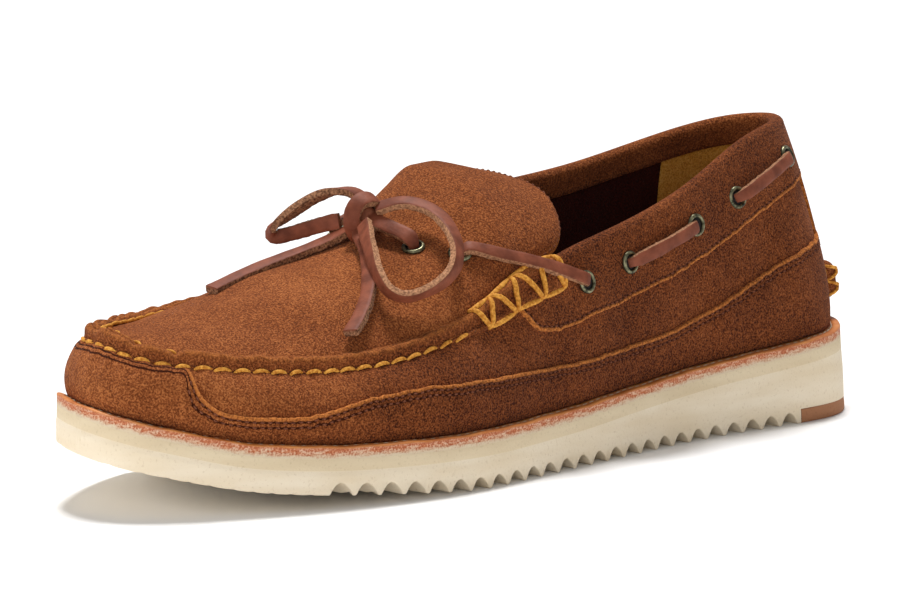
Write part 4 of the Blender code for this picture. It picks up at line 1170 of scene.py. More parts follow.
rows = []
a, h = ribs(panel_edge, foot_line, back=PANEL_BACK)
keep = np.flatnonzero(seam < 0.02)
order = keep[np.argsort(panel_edge[keep, 0])]
for row in PANEL_SEWN:
    rows.append(fine_row(a[row, order], h[row, order], STEP * CUT_ROWS[row][1] + 0.12))
a, h = ribs(band_edge, top_line, BAND_ROWS, back=BAND_BACK, closed=False)
rows.append(fine_row(a[BAND_SEWN], h[BAND_SEWN], STEP * BAND_ROWS[BAND_SEWN][1] + 0.1))
edge_y = np.linspace(-5, 19.0, 60)
line = np.concatenate([apron_at(edge_y, 0.962), apron_at(19.3, np.linspace(0.93, -0.93, 60)),
                       apron_at(edge_y[::-1], -0.962)])
line = evenly(line, spacing=1.3)
k = np.arange(0, len(line) - 2, 2)
end = line[k] * 0.2 + line[k + 1] * 0.8 + (line[k + 2] - line[k + 1]) * 0.4
up = np.broadcast_to(UP, end.shape)
rows.append((arcs(line[k], end, up, rise=0.1, sink=0.25, steps=FINE_PLACES), up))
paths, ups = (np.concatenate([row[k] for row in rows]) for k in (0, 1))
stitches("fine_stitches", paths, ups, FINE_RADIUS, tonal, sides=6)

# %% [markdown]
# ## The heel
# At the back, a strip with a saw-cut raw edge covers the join of the quarters. Below it the leather is
# pinched into a short upright roll, which is bound with crossed gold thread, and a thin seam runs on
# down to the welt. All three sit a little to the outer side of the hindmost place. Inside, a tan suede
# lining covers the heel.

# %% Heel strip
STRIP_A, HEEL_HALF, SAW, UNDERLAP = HEEL_A - 10.5, 12.0, 2.3, 2.0  # middle, half width, teeth, tucked in
across = np.sin(np.linspace(-np.pi / 2, np.pi / 2, 39))[None]
low, high = (np.interp(HEEL_A, *edge[np.argsort(edge[:, 0])].T) for edge in (panel_edge, band_edge))
up_strip = np.linspace(low - UNDERLAP, high + UNDERLAP, 76)[:, None]
tooth = 0.42 * np.abs(np.sin(np.pi * up_strip / SAW)) + 0.12 * np.sin(up_strip * 1.9)
a = STRIP_A + across * (HEEL_HALF + tooth * np.abs(across) ** 8)
edge_share = 1 - np.abs(across)
proud = 0.95 * np.interp(edge_share, [0.0, 0.006, 0.02, 0.06], [-0.3, 0.5, 0.95, 1.0])
points, normals = wall.on(a, up_strip, proud)
# The heel strip carries the same painted shade as the wall.
make("heel_strip", points, grid_faces(*a.shape), brown, "suede", wall=0.8, outward=normals,
     raw=np.clip(1 - edge_share / 0.035, 0, 1) + 0 * up_strip, shade=painted_shade_at(points))

# %% Heel roll and its binding
ROLL_A, ROLL_OUT, ROLL_SIDE, ROLL_Z = HEEL_A - 12.0, 5.6, 3.4, [34.0, 46.6]
PRESSED = STEP - 0.4  # how far out the roll and the seam start
heel_h = np.linspace(0, wall.between(wall.tall, ROLL_A), 60)
roll_h = np.interp(ROLL_Z, wall.on(np.full(60, ROLL_A), heel_h)[0][:, 2], heel_h)


def roll_at(theta, h, proud=0.0):
    """A place on the roll: theta 0 and pi are its feet, pi/2 its crest. Toward its ends it shrinks by
    sqrt(1 - |2s - 1|^4), s being the share of the way up."""
    s = (h - roll_h[0]) / (roll_h[1] - roll_h[0])
    full = np.sqrt(np.clip(1 - np.abs(2 * s - 1) ** 4, 0, 1))
    wide = (ROLL_SIDE * (0.45 + 0.55 * full) + proud) * np.cos(theta)
    return wall.on(ROLL_A + wide, h, PRESSED + (ROLL_OUT * full + proud) * np.sin(theta))


theta = np.linspace(-0.15, np.pi + 0.15, 25)[None]
roll_rows = (roll_h[0] + (roll_h[1] - roll_h[0]) * (1 - np.cos(np.linspace(0, np.pi, 31))) / 2)[:, None]
points, normals = roll_at(theta, roll_rows + 0.15 * np.sin(3 * theta))
# Painted shade of 0.5 darkens the roll.
make("heel_roll", points, grid_faces(*points.shape[:2]), brown, "suede", wall=0.7, outward=normals,
     raw=0.5 * np.exp(-((theta - 1.57) / 0.25) ** 2) + 0 * roll_rows, shade=np.full(points.shape[:2], 0.5))
seam_h = np.linspace(0.4, roll_h[0] + 1.0, 24)[:, None]
points, normals = wall.on(ROLL_A - 2.0 + 1.3 * np.cos(theta), seam_h, PRESSED + 1.8 * np.sin(theta))
# Painted shade of 0.9 darkens the seam below the roll.
make("heel_seam", points, grid_faces(*points.shape[:2]), brown, "suede", wall=0.5, outward=normals,
     raw=0.4 * np.exp(-((theta - 1.57) / 0.3) ** 2) + 0 * seam_h, shade=np.full(points.shape[:2], 0.9))
t = np.linspace(0, 1, 21)
sink = 0.7 * (1 - np.abs(np.sin(np.pi * t)) ** 0.35)
low, mid, high = roll_h[0] + 1.2, roll_h.mean(), roll_h[1] - 1.2
FOOT_1, FOOT_2 = 0.15, 3.0  # theta of the thread's holes on the two sides
BINDING = [((FOOT_1, low), (FOOT_2, mid)), ((FOOT_2, low), (FOOT_1, mid)), ((FOOT_1, mid), (FOOT_2, high)),
           ((FOOT_2, mid), (FOOT_1, high)), ((FOOT_1, low), (FOOT_1, mid)), ((FOOT_1, mid), (FOOT_1, high)),
           ((FOOT_2, low), (FOOT_2, mid)), ((FOOT_2, mid), (FOOT_2, high))]
bound = [roll_at(start[0] + (end[0] - start[0]) * t, start[1] + (end[1] - start[1]) * t, 0.45 - sink)
         for start, end in BINDING]
stitches("heel_binding", np.array([path for path, _ in bound]), np.array([up for _, up in bound]), 0.62, gold)

# %% Heel lining
LINED_Y, LINED_BELOW, LINED_IN = 109.0, 4.0, 2.15  # where it starts, how far under the top line, depth
inside_a = wall.a[wall.middle_y > LINED_Y]
q = np.linspace(0.12, 1, 20)[:, None]
points, normals = wall.on(inside_a, q * (top_line(inside_a) - LINED_BELOW), -LINED_IN)
make("heel_lining", points, grid_faces(*points.shape[:2]), mustard, "suede", wall=0.6, outward=-normals)

# %% [markdown]
# ## The lace
# The lace is a strip cut from oiled leather: smooth on the grain side, rough and speckled on the cut
# edges and the flesh side. Its section is a soft-cornered rectangle that is carried along a route. At
# each place a direction says where the grain side looks, which is how a flat lace twists in a bow.
# The free loops and ends are cords that can move; the length of each is printed.

# %% Lace leather and sizes
LACE_WIDE, LACE_THICK, LACE_THREADED, LACE_BELOW = 4.7, 2.3, 3.0, 1.2
TOWARD = np.array(BACK)
RIGHT = unit(np.cross(UP, TOWARD))
VIEW = np.stack([RIGHT, np.cross(TOWARD, RIGHT), TOWARD])


def lace_leather():
    """Grain: pinkish brown with faint clouds. Cut sides: dark and pale fibres in strong speckle, paler
    where "pale" is high."""
    finish = Finish("lace_leather", 0.5)
    finish.shader.inputs["Specular IOR Level"].default_value = 0.25
    cloud = finish.ramp(finish.noise(5.0, 3.0), 0.35, 0.65)
    grain = finish.mix(cloud, tint(106, 52, 32), tint(138, 74, 50))
    fine = finish.ramp(finish.noise(0.7, 3.0), 0.36, 0.62)
    fibres = finish.ramp(finish.add(fine, finish.times(finish.mark("pale"), 0.9)), 0.0, 1.7)
    cut = finish.mix(fibres, tint(62, 30, 17), tint(196, 142, 104))
    side = finish.mark("side")
    colour = finish.mix(side, cut, grain)
    height = finish.times(finish.noise(0.8, 3.0), finish.ramp(side, 0.0, 1.0, 1.0, 0.25))
    return finish.done(colour, height, 0.5, 0.9, finish.ramp(side, 0.0, 1.0, 0.9, 0.6))


lace = lace_leather()
SECTION = np.array([
    # across (share of half the width), out (share of half the thickness), side
    (-0.90, 0.98, 1.0), (-0.5, 1.06, 1.0), (0.0, 1.08, 1.0), (0.5, 1.06, 1.0), (0.90, 0.98, 1.0),
    (0.965, 0.88, 1.0), (0.985, 0.80, 0.1), (1.0, 0.3, 0.0), (1.0, -0.3, 0.0), (0.97, -0.85, 0.0),
    (0.80, -1.0, 0.0), (0.3, -1.02, 0.0), (-0.3, -1.02, 0.0), (-0.80, -1.0, 0.0),
    (-0.97, -0.85, 0.0), (-1.0, -0.3, 0.0), (-1.0, 0.3, 0.0), (-0.985, 0.80, 0.1), (-0.965, 0.88, 1.0),
])


def ribbon(name, route, facing, node, pale_share=0.4, wide=LACE_WIDE, threaded=(), closed=False):
    """The section carried along a smooth curve through route. The grain looks along facing, made square
    to the curve; across is their cross product. threaded names the ends that narrow into an eyelet. The
    cut sides are roughened by seeded noise, and the width sways a little as a hand-cut strip does."""
    both = np.hstack([route, facing])
    both = evenly(closed_spline(both, 10) if closed else open_curve(both, 16 * len(route)), spacing=0.9)
    path, facing = both[:, :3], both[:, 3:]
    along = np.roll(path, -1, axis=0) - np.roll(path, 1, axis=0) if closed else np.gradient(path, axis=0)
    along = unit(along)
    out = unit(facing - along * np.sum(facing * along, axis=1, keepdims=True))
    across = np.cross(along, out)
    n = len(path)
    width = np.full(n, wide / 2)
    run = lengths(path)
    for end in threaded:
        near = run if end == "first" else run[-1] - run
        width = np.minimum(width, np.interp(near, [2.2, 4.6], [LACE_THREADED / 2, wide / 2]))
    rough = chance.normal(0, 1, (n, len(SECTION))) * (1 - SECTION[:, 2]) * 0.07
    sway = 1 + 0.035 * np.sin(run / 4.1 + len(name)) + 0.025 * np.sin(run / 1.7)
    x = SECTION[:, 0] * (width * sway)[:, None] + rough * np.sign(SECTION[:, 0])
    z = SECTION[:, 1] * LACE_THICK / 2 + rough * 0.6 * np.sign(SECTION[:, 1])
    points = path[:, None] + across[:, None] * x[..., None] + out[:, None] * z[..., None]
    around = len(SECTION)
    side = np.broadcast_to(SECTION[:, 2], (n, around))
    if closed:
        return make(name, points, grid_faces(n, around, True, True), lace, "lace", node, side=side,
                    pale=np.full(side.shape, pale_share), sharp=math.radians(70)), path
    ring = np.arange(around)
    tips = np.stack([path[0] - along[0] * 0.05, path[-1] + along[-1] * 0.05])
    caps = np.vstack([fan_faces(ring, n * around)[:, ::-1],
                      fan_faces((n - 1) * around + ring, n * around + 1)])
    marks = np.append(side, [0.0, 0.0])
    piece = make(name, np.vstack([points.reshape(-1, 3), tips]), grid_faces(n, around, False, True), lace,
                 "lace", node, triangles=caps, side=marks, pale=np.full(len(marks), pale_share),
                 sharp=math.radians(50))
    return piece, path


# %% [markdown]
# ## Lace along the collar
# The lace shows in three places on each side, from the apron's upper eyelet to the first one of the
# collar, then between the second and third and between the fourth and fifth. Each run rises out of
# one eyelet, lies on the leather and goes down into the next.

# %% Eyelet seats and lace runs
BAND_EYELETS = [(15.6, 0.80), (35.8, 0.80), (67.8, 0.81), (89.7, 0.80), (120.0, 0.86)]
APRON_EYELETS = [(-32.7, 0.335), (-24.5, 0.565)]
seats = {}
for side, outer in (("outer", True), ("inner", False)):
    for number, (y, share) in enumerate(BAND_EYELETS, 1):
        a, h = wall.spot(y, share, outer)
        point, normal = wall.on(np.array([a]), np.array([h]), STEP + 0.05)
        seats[f"{side}_{number}"] = point[0], normal[0]
    for place, (y, share) in zip("ab", APRON_EYELETS):
        share = share if outer else -share
        normal = apron_normal([y], [share])[0]
        seats[f"{side}_{place}"] = apron_at([y], [share])[0] + normal * 0.15, normal
LACE_RUNS = [("b", "1", 2.6), ("2", "3", 0.6), ("4", "5", 1.2)]  # from, to, height of the arch
RUN_WIDE = 3.9
for side in ("outer", "inner"):
    for begin_at, end_at, bow in LACE_RUNS:
        (p, up_p), (q, up_q) = seats[f"{side}_{begin_at}"], seats[f"{side}_{end_at}"]
        ahead = unit(q - p)
        leave, reach = (unit(ahead - up * np.dot(ahead, up)) for up in (up_p, up_q))
        over_p, over_q = p + up_p * 2.4, q + up_q * 2.4
        up = unit(up_p + up_q)
        route = [p - up_p * LACE_BELOW, p + up_p * 0.4 + leave * 0.2, p + leave * 1.5 + up_p * 1.5,
                 p + leave * 3.6 + up_p * 2.0]
        route += [over_p * (1 - share) + over_q * share + up * (bow * np.sin(np.pi * share) - 0.2)
                  for share in (0.3, 0.5, 0.7)]
        route += [q - reach * 3.6 + up_q * 2.0, q - reach * 1.9 + up_q * 1.4, q + up_q * 0.3 - reach * 0.8,
                  q - up_q * LACE_BELOW - reach * 0.3]
        facing = [up_p - leave * 3.0, up_p - leave * 2.0, up_p - leave * 0.7, up_p, up, up, up, up_q,
                  up_q + reach * 0.7, up_q + reach * 2.0, up_q + reach * 3.0]
        ribbon(f"lace_run_{side}_{begin_at}_{end_at}", np.array(route), np.array(facing),
               f"lace_{side}_{begin_at}_{end_at}", pale_share=0.55, wide=RUN_WIDE,
               threaded=("first", "last"))

# %% [markdown]
# ## The bow
# The bow lies on the instep: a band wrapped round the crossing strands, an arm down to an eyelet on
# each side, two loops and two ends. The nearer loop lies over toward the outer side with its cut edge
# uppermost; the farther one stands up and folds back sharply. The routes repeat those of the solids,
# lowered a little where the flat lace lies closer than a round one. A lace bends where the hand left
# it, so its routes are lists of places, not a formula.

# %% Routes of the bow
KNOT = np.array([-4.5, -37.0, 77.6])
LOOP_OUTER = np.array([
    (-0.2, -34.5, 79.7), (6.4, -30.0, 81.6), (12.4, -26.4, 80.4), (19.8, -26.4, 77.8),
    (27.4, -28.6, 73.6), (32.6, -31.6, 69.6), (35.4, -34.8, 65.6), (36.4, -39.6, 62.0),
    (35.4, -45.6, 59.2), (33.0, -52.0, 57.6), (30.0, -56.2, 59.2), (25.2, -56.4, 63.4),
    (18.0, -52.6, 68.0), (10.8, -48.2, 72.6), (3.0, -42.6, 75.9),
])
LOOP_INNER = np.array([
    (-7.1, -32.9, 80.6), (-11.0, -34.6, 83.6), (-14.5, -38.6, 84.2), (-18.4, -42.4, 82.8),
    (-22.0, -46.4, 79.9), (-25.2, -50.4, 76.4), (-27.9, -53.4, 73.0), (-27.2, -52.6, 70.6),
    (-23.6, -49.0, 71.6), (-19.2, -45.6, 73.2), (-15.0, -43.0, 74.6), (-10.9, -40.6, 75.6),
])
END_OUTER = np.array([
    (-4.0, -38.5, 76.0), (0.5, -42.0, 71.8), (8.0, -46.5, 69.2), (17.0, -53.0, 63.9),
    (24.5, -60.5, 58.0), (29.5, -68.0, 52.9), (33.2, -75.0, 49.2),
])
END_INNER = np.array([
    (-5.0, -38.0, 75.0), (-9.5, -42.5, 71.2), (-13.5, -50.0, 67.9), (-16.0, -58.5, 65.5),
    (-16.8, -66.0, 63.8), (-16.9, -74.0, 62.0), (-16.6, -81.5, 60.2), (-16.0, -87.6, 58.8),
])


def seen(rows):
    """Directions given as shares to the right, up and toward the outer front."""
    return np.array(rows) @ VIEW


LOOP_LEAN = math.radians(30)
spread = LOOP_OUTER - LOOP_OUTER[3:13].mean(axis=0)
spread -= np.outer(spread @ TOWARD, TOWARD)
outward = unit(spread) * math.cos(LOOP_LEAN) + TOWARD * math.sin(LOOP_LEAN)
near_loop, near_path = ribbon("lace_near_loop", LOOP_OUTER, outward, "lace_loop_outer", pale_share=0.75)
far_loop, far_path = ribbon("lace_far_loop", LOOP_INNER, seen([
    (0.2, 0.8, 0.5), (0.1, 0.9, 0.4), (0.0, 1.0, 0.0), (-0.2, 0.9, -0.4), (-0.4, 0.8, -0.5),
    (-0.6, 0.6, -0.3), (-1.0, 0.1, 0.2), (-0.2, -0.1, 1.0), (0.0, -0.2, 1.0), (0.0, -0.2, 1.0),
    (0.0, -0.1, 1.0), (0.0, 0.1, 1.0),
]), "lace_loop_inner", pale_share=0.3)
near_end, near_end_path = ribbon("lace_near_end", END_OUTER, seen([
    (-0.2, 0.5, 0.8), (-0.2, 0.5, 0.8), (-0.3, 0.4, 0.8), (-0.35, 0.4, 0.8), *[(-0.4, 0.4, 0.8)] * 3,
]), "lace_knot", pale_share=0.1)
far_end, far_end_path = ribbon("lace_far_end", END_INNER, seen([(0.0, 0.92, 0.38)] * 8), "lace_knot",
                               pale_share=0.2)


def centreline(path):
    """The places of a path in metres, as plain numbers."""
    return [tuple(float(v) for v in point) for point in path * MM]


for piece, path, far in ((near_loop, near_path, "object"), (far_loop, far_path, "object"),
                         (near_end, near_end_path, "bare"), (far_end, far_end_path, "bare")):
    long = float(lengths(path)[-1]) * MM
    centreline(path)[0]
    centreline(path)
    print(f"{piece.name} is {long * 1000:.0f} mm long")

# %% Knot and arms
WRAP = seen([(3.6, 4.4, 0.5), (0.8, 4.6, 3.0), (-1.9, 2.4, 4.4), (-3.0, -0.8, 4.6), (-2.7, -4.2, 3.8),
             (-0.8, -6.8, 1.5), (1.2, -6.4, -1.8), (3.2, -2.0, -3.2), (4.6, 2.2, -2.2)]) + KNOT
WRAP_MIDDLE, WRAP_WIDE = seen([-2.6, -1.2, 0.0]) + KNOT, 5.2
ribbon("lace_knot_band", WRAP, WRAP - WRAP_MIDDLE, "lace_knot", pale_share=0.5, wide=WRAP_WIDE,
       closed=True)
for side in ("outer", "inner"):
    seat, up = seats[f"{side}_a"]
    turn = seat + up * 3.0 + unit(KNOT - seat) * 2.0
    route = np.array([seat - up * LACE_BELOW, seat + up * 1.4, turn, (turn + KNOT) / 2, KNOT])
    look = up + (TOWARD if side == "outer" else 0.3 * UP)
    facing = np.array([up - unit(KNOT - seat), look, look, look, look])
    ribbon(f"lace_arm_{side}", route, facing, None, pale_share=0.6, threaded=("first",))

# %% Core of the knot
CORE_ROWS, CORE_ROUND = 14, 28
angle = np.linspace(0, np.pi, CORE_ROWS + 2)[:, None]
turn = np.linspace(0, 2 * np.pi, CORE_ROUND, endpoint=False)[None]
bumps = 1 + 0.06 * np.sin(3 * turn + 5 * angle) * np.sin(angle)
core = seen(np.stack([1.2 + 3.6 * np.sin(angle) * np.cos(turn) * bumps, -0.8 + 4.2 * np.cos(angle) * bumps,
                      3.0 * np.sin(angle) * np.sin(turn) * bumps], axis=-1)) + KNOT
core = np.vstack([core[1:-1].reshape(-1, 3), core[0, :1], core[-1, :1]])
ring = np.arange(CORE_ROUND)
poles = np.vstack([fan_faces(ring, len(core) - 2)[:, ::-1],
                   fan_faces((CORE_ROWS - 1) * CORE_ROUND + ring, len(core) - 1)])
make("lace_knot_core", core, grid_faces(CORE_ROWS, CORE_ROUND, False, True), lace, "lace", None,
     triangles=poles, side=np.full(len(core), 0.8), pale=np.full(len(core), 0.2))

# %% [markdown]
# ## Eyelets
# Each eyelet is a small spun ring of aged brass: dark and a little green in the hollows, rubbed bright
# on the crest of its rim. The profile below is turned round the ring's axis. A near-black plug in each
# hole is painted shadow for the dark inside of the hole.

# %% Aged brass and rings
RIM = np.array([
    # radius, height, worn
    (3.62, 0.00, 0.0), (3.68, 0.22, 0.15), (3.60, 0.52, 0.5), (3.40, 0.80, 0.9), (3.10, 0.98, 1.0),
    (2.80, 0.98, 0.8), (2.55, 0.80, 0.4), (2.38, 0.50, 0.1), (2.30, 0.10, 0.0), (2.30, -2.4, 0.0),
    (2.85, -2.4, 0.0), (2.85, 0.00, 0.0),
])


def aged_brass():
    """Metal: dark green-brown, with bright brass where the rim is worn and the noise lets it through."""
    finish = Finish("aged_brass", 0.36, Metallic=0.85)
    patches = finish.ramp(finish.noise(1.6, 3.0), 0.35, 0.65)
    worn = finish.times(finish.mark("worn"), patches)
    colour = finish.mix(finish.ramp(patches, 0.0, 1.0), tint(48, 50, 38), tint(82, 84, 64))
    return finish.done(finish.mix(worn, colour, tint(160, 154, 120)), finish.noise(0.8), 0.1, 0.5)


brass = aged_brass()
# Painted shadow: a near-black finish for the plugs that fill the eyelet holes.
dark = Finish("eyelet_painted_shadow", 0.9)
dark.done(dark.mix(dark.noise(1.0), tint(14, 7, 5), tint(26, 14, 10)))
RING_ROUND, BORE_ROUND, BORE_RADIUS, BORE_TOP, BORE_LOW = 36, 12, 2.3, 0.28, 1.12
turn = np.linspace(0, 2 * np.pi, RING_ROUND, endpoint=False)


def frame_of(normal):
    """Two directions square to the normal and to each other."""
    first = unit(np.cross(normal, UP if abs(normal[2]) < 0.9 else np.array([0.0, 1.0, 0.0])))
    return first, np.cross(normal, first)


hole_shadow_plugs = []
for name, (seat, normal) in seats.items():
    first, second = frame_of(normal)
    circle = first * np.cos(turn)[:, None] + second * np.sin(turn)[:, None]
    points = seat + circle[None] * RIM[:, 0, None, None] + normal * RIM[:, 1, None, None]
    worn = np.broadcast_to(RIM[:, 2:3], points.shape[:2])
    make(f"ring_{name}", points, grid_faces(len(RIM), RING_ROUND, True, True), brass, "old_brass",
         f"eyelet_{name}", worn=worn)
    bore = seat + circle[::RING_ROUND // BORE_ROUND] * BORE_RADIUS + normal * BORE_TOP
    hole_shadow_plugs.append(np.vstack([bore, bore - normal * (BORE_TOP + BORE_LOW), seat + normal * BORE_TOP,
                            seat - normal * 1.2]))
ring = np.arange(BORE_ROUND)
lids = np.vstack([fan_faces(ring, 2 * BORE_ROUND)[:, ::-1],
                  fan_faces(BORE_ROUND + ring, 2 * BORE_ROUND + 1)])
each = len(hole_shadow_plugs[0]) * np.arange(len(hole_shadow_plugs))[:, None, None]
# One mesh of near-black plugs, painted shadow inside every eyelet hole.
make("eyelet_hole_shadows", np.vstack(hole_shadow_plugs), (grid_faces(2, BORE_ROUND, False, True) + each).reshape(-1, 4),
     dark.material, "old_brass", None, triangles=(lids + each).reshape(-1, 3))

# %% [markdown]
# ## The sole
# Four layers follow one outline: a leather midsole whose rim stands out as the welt, a thin strip, a
# thick crepe outsole cut into a ripple, and a brown block let in at the heel. Each is drawn as columns
# round the outline, every column a short profile from the upper face over the rounded edge and down
# the side. The faces across join the column on the outer side to its partner on the inner side, so
# that a groove of the tread runs straight across.

# %% Columns round the sole
TOOTH_PITCH, TOOTH_DEPTH, TOOTH_FLAT, FIRST_GROOVE_Y, GROOVES = 8.06, 3.7, 0.3, -95.0, 25
INSERT_FRONT_Y, INSERT_FRONT_HIGH, INSERT_BACK_HIGH = 107.8, 4.3, 5.3
ROUNDED, ROW_STEP = 14, 1.6  # the length where the rows crowd together, and the step between the others
plan = closed_spline(STATION[:, :2], 60)
plan_out = outline(plan)
toe_at, heel_at = plan[:, 1].argmin(), plan[:, 1].argmax()


def side_columns(y_rows, outer):
    """Plan point and outward direction at each wanted y on one side, found along the outline."""
    step = 1 if outer else -1
    order = np.arange(toe_at, toe_at + step * ((step * (heel_at - toe_at)) % len(plan) + 1), step) % len(plan)
    run = np.maximum.accumulate(plan[order, 1])
    values = np.column_stack([plan, plan_out])[order]
    k = np.interp(y_rows, run, np.arange(len(order)))
    found = np.column_stack([np.interp(k, np.arange(len(order)), values[:, c]) for c in range(4)])
    return found[:, :2], unit(found[:, 2:])


def rows_y(spacing, start=-150.0, extra=()):
    """Rows from toe to heel: even steps along the outline, so they crowd together in y at both ends."""
    low, high = plan[:, 1].min() + 0.02, plan[:, 1].max() - 0.02
    middle = np.arange(max(start, low + ROUNDED), high - ROUNDED, spacing)
    turn = np.linspace(0, np.pi / 2, 26)
    toe = low + ROUNDED * (1 - np.cos(turn))[:-1]
    heel = high - ROUNDED * (1 - np.sin(turn))
    rows = np.concatenate([toe if start < low + ROUNDED else [start], middle[middle > start], heel, extra])
    return np.unique(np.round(rows, 3))


class Layer:
    """One layer of the sole: profile rows (inset, height(x, y), wear) over columns at shared y."""

    def __init__(self, rows):
        """rows: the y of every pair of columns. Down the outer side they run to the heel, and back."""
        self.rows = rows
        sides = [side_columns(rows, outer) for outer in (True, False)]
        self.plan = np.vstack([sides[0][0], sides[1][0][::-1]])
        self.out = np.vstack([sides[0][1], sides[1][1][::-1]])
        self.run = lengths(self.plan)

    def ring(self, inset, height):
        """The outline drawn in by inset, and by SOLE_LEAN for each millimetre of height."""
        z = height(*(self.plan - self.out * np.reshape(inset, (-1, 1))).T)
        inset = inset + SOLE_LEAN * z
        xy = self.plan - self.out * np.reshape(inset, (-1, 1))
        return np.column_stack([xy, height(*xy.T)])

    def build(self, name, profile, finish, slot, node, sharp=None):
        """profile: rows of (inset, height function, wear) from the top, round the edge, to the bottom.
        The top and the bottom are closed by faces across."""
        n = len(self.rows)
        points = np.stack([self.ring(inset, height) for inset, height, _ in profile])
        wear = np.stack([np.full(2 * n, mark) for _, _, mark in profile])
        faces = [grid_faces(len(profile), 2 * n, False, True)]
        i = np.arange(n - 1)
        across = np.column_stack([i, i + 1, 2 * n - 2 - i, 2 * n - 1 - i])
        faces += [across[:, ::-1], across + (len(profile) - 1) * 2 * n]
        return make(name, points, np.vstack(faces), finish, slot, node, wear=wear,
                    round=np.broadcast_to(self.run, wear.shape), sharp=sharp)


def under_welt(depth):
    """Height function: this far below the welt's upper face."""
    return lambda x, y: welt_top(x, y) - depth


print(f"the sole is {np.ptp(plan[:, 1]):.0f} mm long and {np.ptp(plan[:, 0]):.0f} mm wide")


# %% Sole finishes
def along_edge(finish, round_size, up_size, detail=3.0):
    """Noise drawn out along the sole's edge: the length round it and the height are scaled apart."""
    height = finish.node("SeparateXYZ", finish.place).outputs[2]
    place = finish.node("CombineXYZ", finish.times(finish.mark("round"), MM / round_size),
                        finish.times(height, 1.0 / up_size))
    return finish.noise(1.0, detail, place.outputs[0])


def edge_leather():
    """Stacked leather edge: burnished orange on the rim (wear 1), rust with torn pale fibres below it,
    and a rubbed pinkish lower border (wear negative)."""
    finish = Finish("edge_leather", 0.5)
    wear = finish.mark("wear")
    streak = along_edge(finish, 4.0, 1.0, 4.0)
    fine = finish.noise(0.55, 3.0)
    torn = finish.add(finish.times(streak, 0.5), finish.times(fine, 0.5))
    rust = finish.mix(finish.ramp(fine, 0.35, 0.65), tint(168, 84, 44), tint(206, 128, 84))
    side = finish.mix(finish.ramp(torn, 0.47, 0.66), rust, tint(224, 180, 150))
    glow = finish.ramp(along_edge(finish, 9.0, 2.0), 0.35, 0.65)
    orange = finish.mix(glow, tint(186, 104, 44), tint(218, 140, 70))
    colour = finish.mix(finish.ramp(wear, 0.25, 0.75), side, orange)
    low = finish.add(finish.times(wear, -1.0), finish.times(finish.math("SUBTRACT", torn, 0.5), 2.6))
    colour = finish.mix(finish.ramp(low, -0.05, 0.85), colour, tint(218, 198, 168))
    return finish.done(colour, torn, 0.3, 0.7, finish.ramp(wear, 0.3, 0.8, 0.75, 0.42))


def crepe(name, dark_tint, middle_tint, light_tint):
    """Crepe or foam rubber: dark pores a millimetre apart over slow pale clouds drawn out along the edge."""
    finish = Finish(name, 0.8)
    finish.shader.inputs["Specular IOR Level"].default_value = 0.25
    grain = finish.noise(0.9, 4.0)
    slow = along_edge(finish, 30.0, 6.0, 2.0)
    colour = finish.mix(finish.ramp(slow, 0.3, 0.7), middle_tint, light_tint)
    colour = finish.mix(finish.ramp(grain, 0.58, 0.75, 0.0, 0.5), colour, dark_tint)
    return finish.done(colour, grain, 0.16, 0.6)


edge_finish = edge_leather()
cream = crepe("cream_crepe", tint(206, 184, 152), tint(232, 214, 184), tint(242, 228, 204))
strip_finish = crepe("strip_foam", tint(190, 168, 132), tint(218, 198, 164), tint(228, 210, 178))
block = crepe("heel_block", tint(124, 80, 52), tint(164, 112, 78), tint(176, 124, 90))
sock_finish = suede("sock_leather", tint(40, 18, 10), tint(60, 28, 16), tint(78, 42, 26), tint(120, 80, 50))

# %% [markdown]
# ## Welt, strip and sock
# The welt's rim is rounded and burnished. A stitching groove runs round it, just inside the rim, with
# a pale thread at the bottom of it.

# %% Welt, strip and sock
lay = Layer(rows_y(ROW_STEP))
wave = 0.10 * np.sin(lay.run / 2.3) + 0.08 * np.sin(lay.run / 5.1)
GROOVE_IN, GROOVE_DEEP, WELT_PITCH = 2.95, 0.62, 3.3
WELT_PROFILE = [
    # inset, below the welt's face, wear
    (6.5, 0.0, 0.8), (3.7, 0.0, 0.8), (3.45, 0.12, 0.5), (3.3, 0.62, 0.2), (2.9, 0.70, 0.2),
    (2.6, 0.60, 0.2), (2.45, 0.10, 0.6), (2.2, -0.05, 1.0), (1.2, -0.12, 1.0), (0.5, -0.04, 1.0),
    (0.18, 0.12, 0.9), (0.03, 0.40, 0.5), (0.06, 0.8, 0.15), (0.10, 1.6, 0.0), (0.10, 2.3, -0.25),
    (0.10, 3.0, -0.7), (0.10, 3.61, -1.0), (0.10, 3.66, -1.0), (4.0, 3.66, -1.0),
]
STRIP_PROFILE = [(4.0, 3.58), (0.11, 3.58), (0.10, 3.62), (0.10, 5.4), (0.10, 7.14), (0.11, 7.2), (4.0, 7.2)]
SOCK_PROFILE = [(13.0, -2.7), (9.2, -2.7), (8.5, -2.4), (8.3, -1.4), (8.4, -0.4), (9.0, -0.3), (13.0, -0.3)]


def rim_height(depth):
    """Below the welt's face by depth, with the small unevenness of a hand-trimmed rim."""
    return lambda x, y: welt_top(x, y) - depth + wave * (depth < 1.0)


